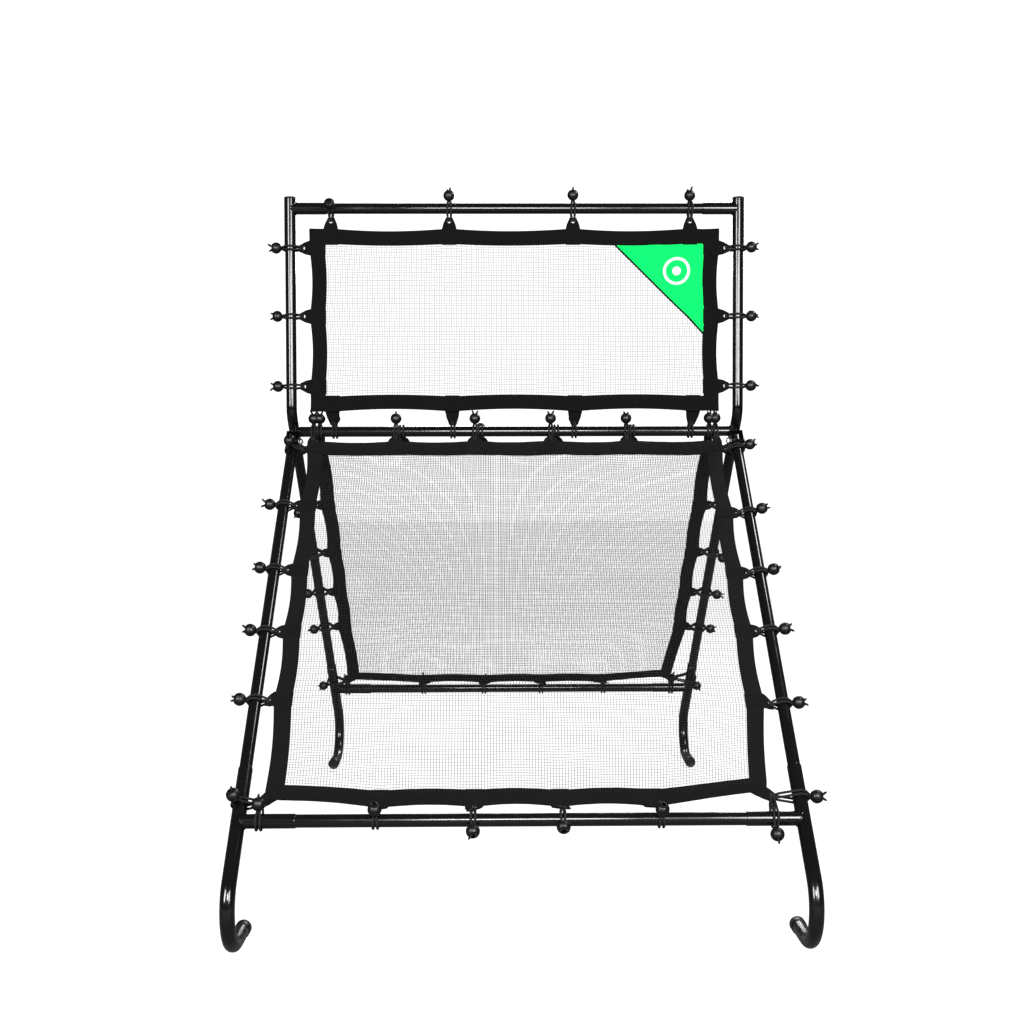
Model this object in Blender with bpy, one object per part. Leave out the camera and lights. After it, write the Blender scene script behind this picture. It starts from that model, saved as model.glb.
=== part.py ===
"""Pitch back rebounder: a folding steel-tube frame with three netted panels.

Metres, +Z up. The floor is z = 0 and the front faces -Y. The model is drawn with
the upright tubes on y = 0 and moved at the end, so that the origin lies on the
floor in the middle of the footprint.

The rear frame carries the upper and the rear panel. The front frame carries the
sloped front panel and turns about two pivot bolts below the middle crossbar.
"""

from math import atan2, cos, pi, radians, sin, sqrt, tan

import bmesh
import bpy
from mathutils import Matrix, Vector

# ---------------------------------------------------------------- dimensions
TUBE_R = 0.0127            # 25.4 mm tube
SLEEVE_R = 0.0143          # 28.6 mm sleeve the tube slides into
SLEEVE_BORE_R = 0.0131
TUBE_BORE_R = 0.0115
TUBE_SIDES = 16
HALF_WIDTH = 0.545         # side tube axis from the middle

HINGE_Y = 0.0438           # axis of the middle crossbar
HINGE_Z = 1.007
TOP_Z = 1.547              # axis of the top crossbar
UPRIGHT_TOP_Z = 1.515
CORNER_TOP_Z = 1.5710
CORNER_BOTTOM_Z = 1.447
CORNER_STUB = 0.088        # top stub, from the upright axis
SIDE_BEND_R = 0.050

FRONT_SLOPE = radians(45.0)
REAR_SLOPE = radians(44.1)
FRONT_BAR_V = 1.087        # bar axis, down the slope from the hinge
REAR_BAR_V = 1.104
SOCKET_ABOVE_BAR = 0.118   # mouth of the foot socket, up the slope from the bar
SOCKET_DEPTH = 0.050
FOOT_STUB = 0.111          # foot stub, from the leg axis
FOOT_BEND_R = 0.078
FOOT_TAIL = 0.082          # straight tail past the lowest point of the foot
CAP_R = 0.0157
CAP_WALL_GAP = 0.0004
CAP_OVERLAP = 0.020
CAP_END = 0.004
BAR_INSERT = 0.045         # how far a crossbar runs into its stub

PIVOT_V = 0.035            # pivot bolt, down the front slope from the crossbar
LEG_END_V = 0.023
BRACKET_NEAR_V = 0.0132
BRACKET_FAR_V = 0.0525
BRACKET_PLATE = 0.0025
BRACKET_GAP = 0.0008
STOP_PAST_PIVOT = 0.0100   # where the stop over the leg begins
BOLT_R = 0.0040
BOLT_HOLE_R = 0.0044
HEX_R = 0.0075
HEAD_HEIGHT = 0.0053
NUT_HEIGHT = 0.0065

NET_HALF = 0.0005          # half thickness of the net slab
BINDING_HALF = 0.0010
BINDING_WIDTH = 0.037
TOP_BINDING_WIDTH = 0.046
SLAB_GAP = 0.0005
TAB_LOW = 0.0003           # the tab's two faces, from the middle of the net
TAB_HIGH = 0.0020
TAB_FOOT = 0.036           # tab width on the binding
CORNER_FOOT = 0.020
TAB_TIP = 0.0168
TAB_LAP = 0.024            # how far the tab is sewn over the binding
EYELET = 0.0056            # half side of the eyelet opening
EYELET_LAND = 0.0035
CORD_HALF = 0.0020
CORD_PAIR_HALF = 0.0036
CORD_CLEAR = 0.0010
EYELET_TURN = 0.0036
BALL_R = 0.0133
BALL_OFF = 0.0318          # ball centre from the axis of a plain tube
NECK_R = 0.0040            # the two cords between the loop and its ball

UPPER_U = 0.498            # outer edges of the upper binding
UPPER_TOP_V = 0.0492
UPPER_BOTTOM_V = 0.4915
LOWER_U = 0.507            # outer edges of the front and rear bindings
LOWER_TOP_V = 0.0345
FRONT_BOTTOM_V = 1.0575
REAR_BOTTOM_V = 1.0725
# The lower corners of the front and rear nets are drawn in. Each is cut off by a
# line, given by its two ends: the distance in from the side and up from the bottom.
CORNER_OUTSIDE = ((0.015, 0.0345), (0.041, 0.0235))
CORNER_INSIDE = ((0.006, 0.0200), (0.012, 0.0165))
CORNER_STRAIGHT_U = 0.281  # the bottom edge is straight between these
CORNER_TAB_BASE = (0.479, 0.029)
CORNER_TAB_OUT = (0.776, 0.631)
CORNER_TAB_FOOT = 0.030
CORNER_EYELET = (0.498, 0.0137)  # from the middle, and up from the bottom edge

# Bungee positions along each edge, with the side that the ball is turned to:
# degrees from pointing straight out, towards the face of the net.
UPPER_TOP = ((-0.446, 80), (-0.159, 30), (0.142, 5), (0.427, -5))
UPPER_BOTTOM = ((-0.4446, 222), (-0.1533, -48), (0.1465, 222), (0.4347, -48))
UPPER_LEFT = ((0.096, 10), (0.261, 10), (0.431, 15))
UPPER_RIGHT = ((0.096, 30), (0.261, 5), (0.431, 25))
FRONT_SIDE = ((0.265, 10), (0.456, 15), (0.628, 12), (0.813, 10))
FRONT_BOTTOM = ((-0.281, 75), (-0.093, 20), (0.080, 35), (0.270, 65))
FRONT_TOP = ((-0.294, 0), (-0.099, 0), (0.0885, 0), (0.276, 0))
REAR_SIDE = ((0.270, 40), (0.462, 30), (0.633, 10), (0.796, 10))
REAR_BOTTOM = ((-0.271, 200), (-0.086, 200), (0.090, 200), (0.281, 200))
REAR_TOP = ((-0.280, 0), (-0.085, 0), (0.1025, 0), (0.290, 0))
CORNER_SIDE_V = 0.064      # upper corner bungee round the leg, from the top
CORNER_BAR_U = 0.497       # upper corner bungee round the middle crossbar
REAR_CORNER_BAR_U = 0.482

FLAG_SIDE = 0.215          # legs of the green corner panel
FLAG_THICK = 0.0008


# ------------------------------------------------------------------ helpers
def clear_scene():
    for obj in list(bpy.data.objects):
        bpy.data.objects.remove(obj, do_unlink=True)


def material(name, color, roughness, metallic=0.0):
    mat = bpy.data.materials.new(name)
    mat.use_nodes = True
    shader = mat.node_tree.nodes["Principled BSDF"]
    shader.inputs["Base Color"].default_value = (*color, 1.0)
    shader.inputs["Roughness"].default_value = roughness
    shader.inputs["Metallic"].default_value = metallic
    mat.diffuse_color = (*color, 1.0)
    return mat


def steel_paint(name):
    return material(name + "_gloss_black_paint", (0.012, 0.012, 0.013), 0.16)


def zinc(name):
    return material(name + "_zinc_plate", (0.50, 0.51, 0.52), 0.35, 1.0)


def black_plastic(name):
    return material(name + "_black_plastic", (0.016, 0.016, 0.016), 0.45)


def net_cord(name):
    return material(name + "_black_netting", (0.020, 0.020, 0.022), 0.70)


def webbing(name):
    return material(name + "_black_webbing", (0.012, 0.012, 0.013), 0.85)


def elastic(name):
    return material(name + "_black_elastic", (0.014, 0.014, 0.014), 0.80)


def green_cloth(name):
    return material(name + "_green_cloth", (0.0, 0.90, 0.15), 0.60)


def finish(name, bm, make_material, smooth=True):
    """Turn a bmesh into a named object with its own material."""
    bmesh.ops.recalc_face_normals(bm, faces=bm.faces)
    mesh = bpy.data.meshes.new(name)
    bm.to_mesh(mesh)
    bm.free()
    obj = bpy.data.objects.new(name, mesh)
    bpy.context.scene.collection.objects.link(obj)
    obj.data.materials.append(make_material(name))
    if smooth:
        shade_by_angle(obj)
    return obj


def shade_by_angle(obj, limit=radians(40)):
    """Smooth the round walls and keep the real corners sharp."""
    bm = bmesh.new()
    bm.from_mesh(obj.data)
    for face in bm.faces:
        face.smooth = True
    for edge in bm.edges:
        if len(edge.link_faces) == 2:
            edge.smooth = edge.calc_face_angle(0.0) < limit
    bm.to_mesh(obj.data)
    bm.free()


def ring_points(center, tangent, side, radius, sides, phase=0.5):
    """One ring of points round a path, starting from the side direction."""
    tangent = tangent.normalized()
    across = (side - tangent * side.dot(tangent)).normalized()
    up = tangent.cross(across)
    points = []
    for k in range(sides):
        angle = 2 * pi * (k + phase) / sides
        points.append(center + across * (radius * cos(angle)) + up * (radius * sin(angle)))
    return points


def path_tangents(path, closed=False):
    tangents = []
    count = len(path)
    for i in range(count):
        if closed:
            before = path[i - 1]
            after = path[(i + 1) % count]
        else:
            before = path[max(i - 1, 0)]
            after = path[min(i + 1, count - 1)]
        tangents.append((after - before).normalized())
    return tangents


def add_rod(bm, path, side, radius, sides=TUBE_SIDES):
    """A solid rod swept along an open path with flat ends."""
    tangents = path_tangents(path)
    rings = []
    for i, point in enumerate(path):
        ring = ring_points(point, tangents[i], side, radius, sides)
        rings.append([bm.verts.new(p) for p in ring])
    for a, b in zip(rings, rings[1:]):
        for k in range(sides):
            bm.faces.new((a[k], a[(k + 1) % sides], b[(k + 1) % sides], b[k]))
    bm.faces.new(list(reversed(rings[0])))
    bm.faces.new(rings[-1])


def add_pipe(bm, path, side, radius, bore, sides=TUBE_SIDES):
    """A tube with a wall, swept along an open path."""
    tangents = path_tangents(path)
    outer = []
    inner = []
    for point, tangent in zip(path, tangents):
        outer.append([bm.verts.new(p) for p in ring_points(point, tangent, side, radius, sides)])
        inner.append([bm.verts.new(p) for p in ring_points(point, tangent, side, bore, sides)])
    for i in range(len(path) - 1):
        for k in range(sides):
            n = (k + 1) % sides
            bm.faces.new((outer[i][k], outer[i][n], outer[i + 1][n], outer[i + 1][k]))
            bm.faces.new((inner[i][k], inner[i + 1][k], inner[i + 1][n], inner[i][n]))
    for i in (0, -1):
        for k in range(sides):
            n = (k + 1) % sides
            bm.faces.new((outer[i][k], inner[i][k], inner[i][n], outer[i][n]))


def add_prism(bm, outline, holes, origin, axis_u, axis_v, axis_n, low, high):
    """A flat plate on three axes."""
    def place(u, v, height):
        return origin + axis_u * u + axis_v * v + axis_n * height

    add_plate(bm, outline, holes, place, low, high)


def add_plate(bm, outline, holes, place, low, high):
    """A plate: an outline with openings, given in (u, v), between two heights.

    Each hole has as many corners as the outline, so the two can be bridged.
    """
    levels = []
    for height in (low, high):
        loops = []
        for loop in [outline] + holes:
            loops.append([bm.verts.new(place(u, v, height)) for u, v in loop])
        levels.append(loops)
    for index in range(len(levels[0])):
        a = levels[0][index]
        b = levels[1][index]
        count = len(a)
        for k in range(count):
            bm.faces.new((a[k], a[(k + 1) % count], b[(k + 1) % count], b[k]))
    for loops in levels:
        if len(loops) == 1:
            bm.faces.new(loops[0])
            continue
        rim, hole = loops
        count = len(rim)
        for k in range(count):
            n = (k + 1) % count
            bm.faces.new((rim[k], rim[n], hole[n], hole[k]))


def boolean(obj, cutter, operation, overlapping=False):
    """Apply one exact Boolean and drop the cutter."""
    mod = obj.modifiers.new(operation, "BOOLEAN")
    mod.operation = operation
    mod.solver = "EXACT"
    mod.use_self = overlapping
    mod.object = cutter
    bpy.context.view_layer.update()
    graph = bpy.context.evaluated_depsgraph_get()
    mesh = bpy.data.meshes.new_from_object(obj.evaluated_get(graph))
    obj.modifiers.remove(mod)
    old = obj.data
    obj.data = mesh
    bpy.data.meshes.remove(old)
    bpy.data.objects.remove(cutter, do_unlink=True)


def rod_object(path, side, radius, sides=TUBE_SIDES):
    """A bare rod used to join or cut."""
    bm = bmesh.new()
    add_rod(bm, path, side, radius, sides)
    bmesh.ops.recalc_face_normals(bm, faces=bm.faces)
    mesh = bpy.data.meshes.new("cutter")
    bm.to_mesh(mesh)
    bm.free()
    obj = bpy.data.objects.new("cutter", mesh)
    bpy.context.scene.collection.objects.link(obj)
    return obj


def box_object(origin, axes, low, high):
    """A bare box used to join or cut, given along three axes."""
    bm = bmesh.new()
    outline = [(low[0], low[1]), (high[0], low[1]), (high[0], high[1]), (low[0], high[1])]
    add_prism(bm, outline, [], origin, axes[0], axes[1], axes[2], low[2], high[2])
    bmesh.ops.recalc_face_normals(bm, faces=bm.faces)
    mesh = bpy.data.meshes.new("cutter")
    bm.to_mesh(mesh)
    bm.free()
    obj = bpy.data.objects.new("cutter", mesh)
    bpy.context.scene.collection.objects.link(obj)
    return obj


def set_origin(obj, pivot):
    """Move an object's origin without moving its shape."""
    obj.data.transform(Matrix.Translation(-pivot))
    obj.location = pivot


# ------------------------------------------------------------------- frames
X_AXIS = Vector((1, 0, 0))
Y_AXIS = Vector((0, 1, 0))
HINGE = Vector((0, HINGE_Y, HINGE_Z))
FRONT_DOWN = Vector((0, -cos(FRONT_SLOPE), -sin(FRONT_SLOPE)))
REAR_DOWN = Vector((0, cos(REAR_SLOPE), -sin(REAR_SLOPE)))
PIVOT = HINGE + FRONT_DOWN * PIVOT_V


class Panel:
    """A net's own axes: u across, v down the panel, n towards its face."""

    def __init__(self, top, down):
        self.origin = top
        self.u = X_AXIS
        self.v = down.normalized()
        self.n = self.v.cross(self.u)

    def at(self, u, v, n=0.0):
        return self.origin + self.u * u + self.v * v + self.n * n


UPPER = Panel(Vector((0, 0, TOP_Z)), Vector((0, 0, -1)))
FRONT = Panel(HINGE, FRONT_DOWN)
REAR = Panel(HINGE, REAR_DOWN)


# -------------------------------------------------------------------- tubes
def side_tube_path(x):
    """Upright, one bend, then the rear leg as far as its socket."""
    turn = pi / 2 - REAR_SLOPE
    setback = SIDE_BEND_R * tan(turn / 2)
    vertex_z = HINGE_Z + HINGE_Y * tan(REAR_SLOPE)
    top_of_bend = vertex_z + setback
    points = [Vector((x, 0, UPRIGHT_TOP_Z)), Vector((x, 0, top_of_bend + 0.002))]
    steps = 6
    for k in range(steps + 1):
        angle = turn * k / steps
        y = SIDE_BEND_R * (1 - cos(angle))
        z = top_of_bend - SIDE_BEND_R * sin(angle)
        points.append(Vector((x, y, z)))
    end_v = REAR_BAR_V - SOCKET_ABOVE_BAR + SOCKET_DEPTH
    points.append(HINGE + X_AXIS * x + REAR_DOWN * end_v)
    return points


def make_side_tube(name, x):
    bm = bmesh.new()
    add_pipe(bm, side_tube_path(x), X_AXIS, TUBE_R, TUBE_BORE_R)
    return finish(name, bm, steel_paint)


def make_top_crossbar():
    reach = HALF_WIDTH - CORNER_STUB + BAR_INSERT
    bm = bmesh.new()
    path = [Vector((-reach, 0, TOP_Z)), Vector((reach, 0, TOP_Z))]
    add_pipe(bm, path, Y_AXIS, TUBE_R, TUBE_BORE_R)
    finish("top_crossbar", bm, steel_paint)


def make_middle_crossbar():
    """Its ends are coped to the side tubes that they are welded to."""
    bm = bmesh.new()
    path = [HINGE - X_AXIS * (HALF_WIDTH - 0.004), HINGE + X_AXIS * (HALF_WIDTH - 0.004)]
    add_pipe(bm, path, Y_AXIS, TUBE_R, TUBE_BORE_R)
    bar = finish("middle_crossbar", bm, steel_paint, smooth=False)
    for x in (-HALF_WIDTH, HALF_WIDTH):
        near = HINGE + X_AXIS * x - REAR_DOWN * 0.04
        far = HINGE + X_AXIS * x + REAR_DOWN * 0.04
        boolean(bar, rod_object([near, far], X_AXIS, TUBE_R + 0.0005, 32), "DIFFERENCE")
    shade_by_angle(bar)


def make_upper_corner(name, sign):
    """A capped vertical sleeve with the crossbar stub welded to it."""
    x = sign * HALF_WIDTH
    bm = bmesh.new()
    add_rod(bm, [Vector((x, 0, CORNER_BOTTOM_Z)), Vector((x, 0, CORNER_TOP_Z))], X_AXIS, SLEEVE_R)
    corner = finish(name, bm, steel_paint, smooth=False)
    mouth = Vector((sign * (HALF_WIDTH - CORNER_STUB), 0, TOP_Z))
    stub = rod_object([mouth, Vector((x, 0, TOP_Z))], Y_AXIS, SLEEVE_R - 0.0001)
    boolean(corner, stub, "UNION")
    bore = [Vector((x, 0, CORNER_BOTTOM_Z - 0.01)), Vector((x, 0, CORNER_TOP_Z + 0.01))]
    boolean(corner, rod_object(bore, X_AXIS, SLEEVE_BORE_R), "DIFFERENCE")
    bore = [mouth - X_AXIS * (sign * 0.01), mouth + X_AXIS * (sign * (BAR_INSERT + 0.010))]
    boolean(corner, rod_object(bore, Y_AXIS, SLEEVE_BORE_R), "DIFFERENCE")
    shade_by_angle(corner)


# -------------------------------------------------------------------- hinge
def make_hinge_bracket(name, x):
    """A folded bracket: two cheeks, a back plate and a stop over the leg."""
    half = TUBE_R + BRACKET_GAP + BRACKET_PLATE
    inside = TUBE_R + BRACKET_GAP
    back = BRACKET_NEAR_V + BRACKET_PLATE
    origin = HINGE + X_AXIS * x
    axes = (X_AXIS, FRONT.v, FRONT.n)
    bracket = box_object(origin, axes, (-half, BRACKET_NEAR_V, -half), (half, BRACKET_FAR_V, half))
    bracket.name = name
    bracket.data.name = name
    channel = box_object(origin, axes, (-inside, back, -0.03), (inside, 0.08, inside))
    boolean(bracket, channel, "DIFFERENCE")
    notch = box_object(origin, axes, (-inside, back, 0.005), (inside, PIVOT_V + STOP_PAST_PIVOT, 0.03))
    boolean(bracket, notch, "DIFFERENCE")
    pivot = PIVOT + X_AXIS * x
    drill = rod_object([pivot - X_AXIS * 0.03, pivot + X_AXIS * 0.03], Y_AXIS, BOLT_HOLE_R, 12)
    boolean(bracket, drill, "DIFFERENCE")
    bracket.data.materials.append(steel_paint(name))
    shade_by_angle(bracket)


def make_front_leg(name, x):
    """The leg tube, drilled for the pivot bolt."""
    start = HINGE + X_AXIS * x + FRONT_DOWN * LEG_END_V
    end_v = FRONT_BAR_V - SOCKET_ABOVE_BAR + SOCKET_DEPTH
    end = HINGE + X_AXIS * x + FRONT_DOWN * end_v
    bm = bmesh.new()
    add_pipe(bm, [start, end], X_AXIS, TUBE_R, TUBE_BORE_R)
    leg = finish(name, bm, steel_paint, smooth=False)
    pivot = PIVOT + X_AXIS * x
    drill = rod_object([pivot - X_AXIS * 0.02, pivot + X_AXIS * 0.02], Y_AXIS, BOLT_HOLE_R, 12)
    boolean(leg, drill, "DIFFERENCE")
    shade_by_angle(leg)
    return leg


def make_pivot_bolt(name, sign):
    """A pan-headed bolt through both cheeks and the leg."""
    half = TUBE_R + BRACKET_GAP + BRACKET_PLATE
    pivot = PIVOT + X_AXIS * (sign * HALF_WIDTH)
    face = pivot + X_AXIS * (sign * (half + 0.0004))
    tip = pivot - X_AXIS * (sign * (half + 0.0004 + NUT_HEIGHT + 0.002))
    head = face + X_AXIS * (sign * HEAD_HEIGHT)
    bm = bmesh.new()
    rings = []
    for center, radius in ((tip, BOLT_R), (face, BOLT_R), (face, HEX_R), (head, HEX_R)):
        ring = ring_points(center, X_AXIS, Y_AXIS, radius, 12)
        rings.append([bm.verts.new(p) for p in ring])
    for a, b in zip(rings, rings[1:]):
        for k in range(12):
            bm.faces.new((a[k], a[(k + 1) % 12], b[(k + 1) % 12], b[k]))
    bm.faces.new(rings[0])
    bm.faces.new(rings[-1])
    finish(name, bm, zinc)


def make_pivot_nut(name, sign):
    half = TUBE_R + BRACKET_GAP + BRACKET_PLATE + 0.0004
    start = PIVOT + X_AXIS * (sign * (HALF_WIDTH - half))
    end = start - X_AXIS * (sign * NUT_HEIGHT)
    bm = bmesh.new()
    add_pipe(bm, [start, end], Y_AXIS, HEX_R, BOLT_R + 0.0005, 12)
    finish(name, bm, zinc)


# --------------------------------------------------------------------- feet
class Foot:
    """Geometry of one lower leg: socket, crossbar stub, bend and flat tail."""

    def __init__(self, down, bar_v):
        self.forward = 1.0 if down.y > 0 else -1.0
        self.down = down
        self.bar = HINGE + down * bar_v
        self.mouth = HINGE + down * (bar_v - SOCKET_ABOVE_BAR)
        slope = atan2(-down.z, abs(down.y))
        self.center_z = CAP_R + FOOT_BEND_R
        # The bend is tangent to the leg, so its centre is one radius below it.
        run = (self.bar.z - self.center_z) / tan(slope) - FOOT_BEND_R / sin(slope)
        self.center_y = self.bar.y + self.forward * run
        self.slope = slope
        self.tail_y = self.center_y - self.forward * FOOT_TAIL

    def bend_points(self, x, steps=7):
        """From the leg's tangent, round the nose, to the lowest point."""
        points = []
        start = pi / 2 - self.slope
        for k in range(steps + 1):
            angle = start - (start + pi / 2) * k / steps
            y = self.center_y + self.forward * FOOT_BEND_R * cos(angle)
            z = self.center_z + FOOT_BEND_R * sin(angle)
            points.append(Vector((x, y, z)))
        return points

    def path(self, x):
        """The whole centreline, from the mouth of the socket to the cap."""
        points = [self.mouth + X_AXIS * x]
        points += self.bend_points(x)
        points.append(Vector((x, self.tail_y, CAP_R)))
        return points


FRONT_FOOT = Foot(FRONT_DOWN, FRONT_BAR_V)
REAR_FOOT = Foot(REAR_DOWN, REAR_BAR_V)


def make_foot(name, foot, sign):
    """Socket, curved foot and crossbar stub, welded into one piece."""
    x = sign * HALF_WIDTH
    path = foot.path(x)
    bm = bmesh.new()
    add_rod(bm, path, X_AXIS, SLEEVE_R)
    piece = finish(name, bm, steel_paint, smooth=False)
    mouth = foot.bar + X_AXIS * (sign * (HALF_WIDTH - FOOT_STUB))
    joint = foot.bar + X_AXIS * x
    boolean(piece, rod_object([mouth, joint], Y_AXIS, SLEEVE_R - 0.0001), "UNION")
    bore = list(path)
    bore[0] = bore[0] - foot.down * 0.01
    bore[-1] = bore[-1] - Y_AXIS * (foot.forward * 0.01)
    boolean(piece, rod_object(bore, X_AXIS, SLEEVE_BORE_R), "DIFFERENCE")
    stub = [mouth - X_AXIS * (sign * 0.01), mouth + X_AXIS * (sign * (BAR_INSERT + 0.010))]
    boolean(piece, rod_object(stub, Y_AXIS, SLEEVE_BORE_R), "DIFFERENCE")
    shade_by_angle(piece)
    return piece


def make_foot_crossbar(name, foot):
    reach = HALF_WIDTH - FOOT_STUB + BAR_INSERT
    bm = bmesh.new()
    path = [foot.bar - X_AXIS * reach, foot.bar + X_AXIS * reach]
    add_pipe(bm, path, Y_AXIS, TUBE_R, TUBE_BORE_R)
    return finish(name, bm, steel_paint)


def add_cap(bm, tip, outward, side, radius, sides=16):
    """A cup-shaped cap over a tube end; its facets sit flat on the floor."""
    rim_r = radius / cos(pi / sides)
    bore_r = (SLEEVE_R + CAP_WALL_GAP) / cos(pi / sides)
    back = tip - outward * CAP_OVERLAP
    seat = tip + outward * CAP_WALL_GAP
    end = tip + outward * (CAP_END - 0.0015)
    front = tip + outward * CAP_END
    stations = [
        (seat, bore_r), (back, bore_r), (back, rim_r), (end, rim_r), (front, rim_r * 0.86),
    ]
    rings = []
    for center, r in stations:
        rings.append([bm.verts.new(p) for p in ring_points(center, outward, side, r, sides)])
    for a, b in zip(rings, rings[1:]):
        for k in range(sides):
            bm.faces.new((a[k], a[(k + 1) % sides], b[(k + 1) % sides], b[k]))
    bm.faces.new(rings[0])
    bm.faces.new(rings[-1])


def make_foot_cap(name, foot, sign):
    bm = bmesh.new()
    tip = Vector((sign * HALF_WIDTH, foot.tail_y, CAP_R))
    add_cap(bm, tip, -Y_AXIS * foot.forward, X_AXIS, CAP_R)
    return finish(name, bm, black_plastic)


def make_upper_cap(name, sign):
    """The plug in the open top of a corner sleeve."""
    x = sign * HALF_WIDTH
    stations = (
        (CORNER_TOP_Z - 0.014, SLEEVE_BORE_R - 0.0004),
        (CORNER_TOP_Z + 0.0004, SLEEVE_BORE_R - 0.0004),
        (CORNER_TOP_Z + 0.0004, SLEEVE_R),
        (CORNER_TOP_Z + 0.0024, SLEEVE_R),
        (CORNER_TOP_Z + 0.0040, SLEEVE_R * 0.80),
    )
    bm = bmesh.new()
    rings = []
    for z, r in stations:
        ring = ring_points(Vector((x, 0, z)), Vector((0, 0, 1)), X_AXIS, r, 16)
        rings.append([bm.verts.new(p) for p in ring])
    for a, b in zip(rings, rings[1:]):
        for k in range(16):
            bm.faces.new((a[k], a[(k + 1) % 16], b[(k + 1) % 16], b[k]))
    bm.faces.new(rings[0])
    bm.faces.new(rings[-1])
    finish(name, bm, black_plastic)


# --------------------------------------------------------------------- nets
def rectangle(u0, u1, v0, v1):
    return [(u0, v0), (u1, v0), (u1, v1), (u0, v1)]


def panel_outline(half_u, top, bottom, corner):
    """A panel's outline, with its lower corners drawn in where corner is given."""
    if corner is None:
        return rectangle(-half_u, half_u, top, bottom)
    right = [(half_u, top)]
    right += [(half_u - inward, bottom - up) for inward, up in corner]
    right.append((CORNER_STRAIGHT_U, bottom))
    return right + [(-u, v) for u, v in reversed(right)]


def make_net(name, panel, half_u, top, bottom, top_width, drawn_in):
    """The netting as a thin slab inside its binding."""
    u = half_u - BINDING_WIDTH - SLAB_GAP
    corner = CORNER_INSIDE if drawn_in else None
    window = panel_outline(u, top + top_width + SLAB_GAP, bottom - BINDING_WIDTH - SLAB_GAP, corner)
    bm = bmesh.new()
    add_prism(bm, window, [], panel.origin, panel.u, panel.v, panel.n, -NET_HALF, NET_HALF)
    return finish(name, bm, net_cord, smooth=False)


def binding_ring(name, panel, half_u, top, bottom, top_width, drawn_in):
    """The webbing border sewn round the net."""
    outer = panel_outline(half_u, top, bottom, CORNER_OUTSIDE if drawn_in else None)
    inner_corner = CORNER_INSIDE if drawn_in else None
    inner = panel_outline(half_u - BINDING_WIDTH, top + top_width, bottom - BINDING_WIDTH,
                          inner_corner)
    bm = bmesh.new()
    add_prism(bm, outer, [inner], panel.origin, panel.u, panel.v, panel.n,
              -BINDING_HALF, BINDING_HALF)
    return finish(name, bm, webbing, smooth=False)


class TabPlane:
    """Places a tab's points: its sewn end on the net, its tongue towards a tube."""

    def __init__(self, panel, base, out, toward=None):
        self.origin = panel.at(base[0], base[1])
        self.lap = panel.u * out[0] + panel.v * out[1]
        self.lap_n = panel.n
        self.across = panel.n.cross(self.lap)
        self.tongue = self.lap
        if toward is not None:
            self.tongue = (toward - self.origin).normalized()
        self.tongue_n = self.tongue.cross(self.across)

    def point(self, a, c, height):
        if a < 0:
            return self.origin + self.lap * a + self.across * c + self.lap_n * height
        return self.origin + self.tongue * a + self.across * c + self.tongue_n * height


def add_tab(bm, panel, base, out, eyelet, foot=TAB_FOOT, toward=None, pierced=True):
    """A tapered webbing tab, sewn over the binding, with an eyelet at its tip.

    base is the (u, v) point on the binding's outer edge, out the direction from
    the net to the tube, and eyelet the distance from the edge to the eyelet.
    """
    plane = TabPlane(panel, base, out, toward)
    tip = eyelet + EYELET + EYELET_LAND
    outline = [
        (-TAB_LAP, -foot / 2), (-0.002, -foot / 2), (tip, -TAB_TIP / 2),
        (tip, TAB_TIP / 2), (-0.002, foot / 2), (-TAB_LAP, foot / 2),
    ]
    near = eyelet - EYELET
    far = eyelet + EYELET
    side = EYELET
    hole = [
        (near, -side * 0.8), (eyelet - 0.001, -side), (far, -side * 0.8),
        (far, side * 0.8), (eyelet - 0.001, side), (near, side * 0.8),
    ]
    holes = [hole] if pierced else []
    add_plate(bm, outline, holes, plane.point, TAB_LOW, TAB_HIGH)


def join_shells(obj, bm):
    """Weld a set of overlapping shells to an object, as one body."""
    bmesh.ops.recalc_face_normals(bm, faces=bm.faces)
    mesh = bpy.data.meshes.new("shells")
    bm.to_mesh(mesh)
    bm.free()
    shells = bpy.data.objects.new("shells", mesh)
    bpy.context.scene.collection.objects.link(shells)
    boolean(obj, shells, "UNION", overlapping=True)


def make_border(name, panel, size, pierced, plain, bungees):
    """A binding with its tabs, and the bungees laced to it for good."""
    border = binding_ring(name, panel, *size)
    bm = bmesh.new()
    for tab in pierced:
        add_tab(bm, panel, *tab, pierced=True)
    for tab in plain:
        add_tab(bm, panel, *tab, pierced=False)
    for item in bungees:
        add_loop(bm, item)
        add_ball(bm, item)
    join_shells(border, bm)
    return border


def make_bungee(name, item):
    """One bungee: the elastic loop with the ball on its two ends."""
    bm = bmesh.new()
    add_loop(bm, item)
    bungee = finish(name, bm, elastic, smooth=False)
    bm = bmesh.new()
    add_ball(bm, item)
    join_shells(bungee, bm)
    return bungee


def loop_profile(reach, wrap, steps=6):
    """The cord's path round the tube and back through the eyelet.

    The tube's axis is the origin; the eyelet is at -reach along the first axis.
    """
    turn = EYELET_TURN
    center = -(reach - turn)
    lean = (wrap - turn) / abs(center)
    lean = max(-0.999, min(0.999, lean))
    split = pi / 2 + atan2(lean, sqrt(1 - lean * lean))
    points = []
    for k in range(steps + 1):
        angle = -split + 2 * split * k / steps
        points.append((wrap * cos(angle), wrap * sin(angle)))
    for k in range(1, 3):
        angle = split + (2 * pi - 2 * split) * (k - 0.5) / 2
        points.append((center + turn * cos(angle), turn * sin(angle)))
    return points


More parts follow.
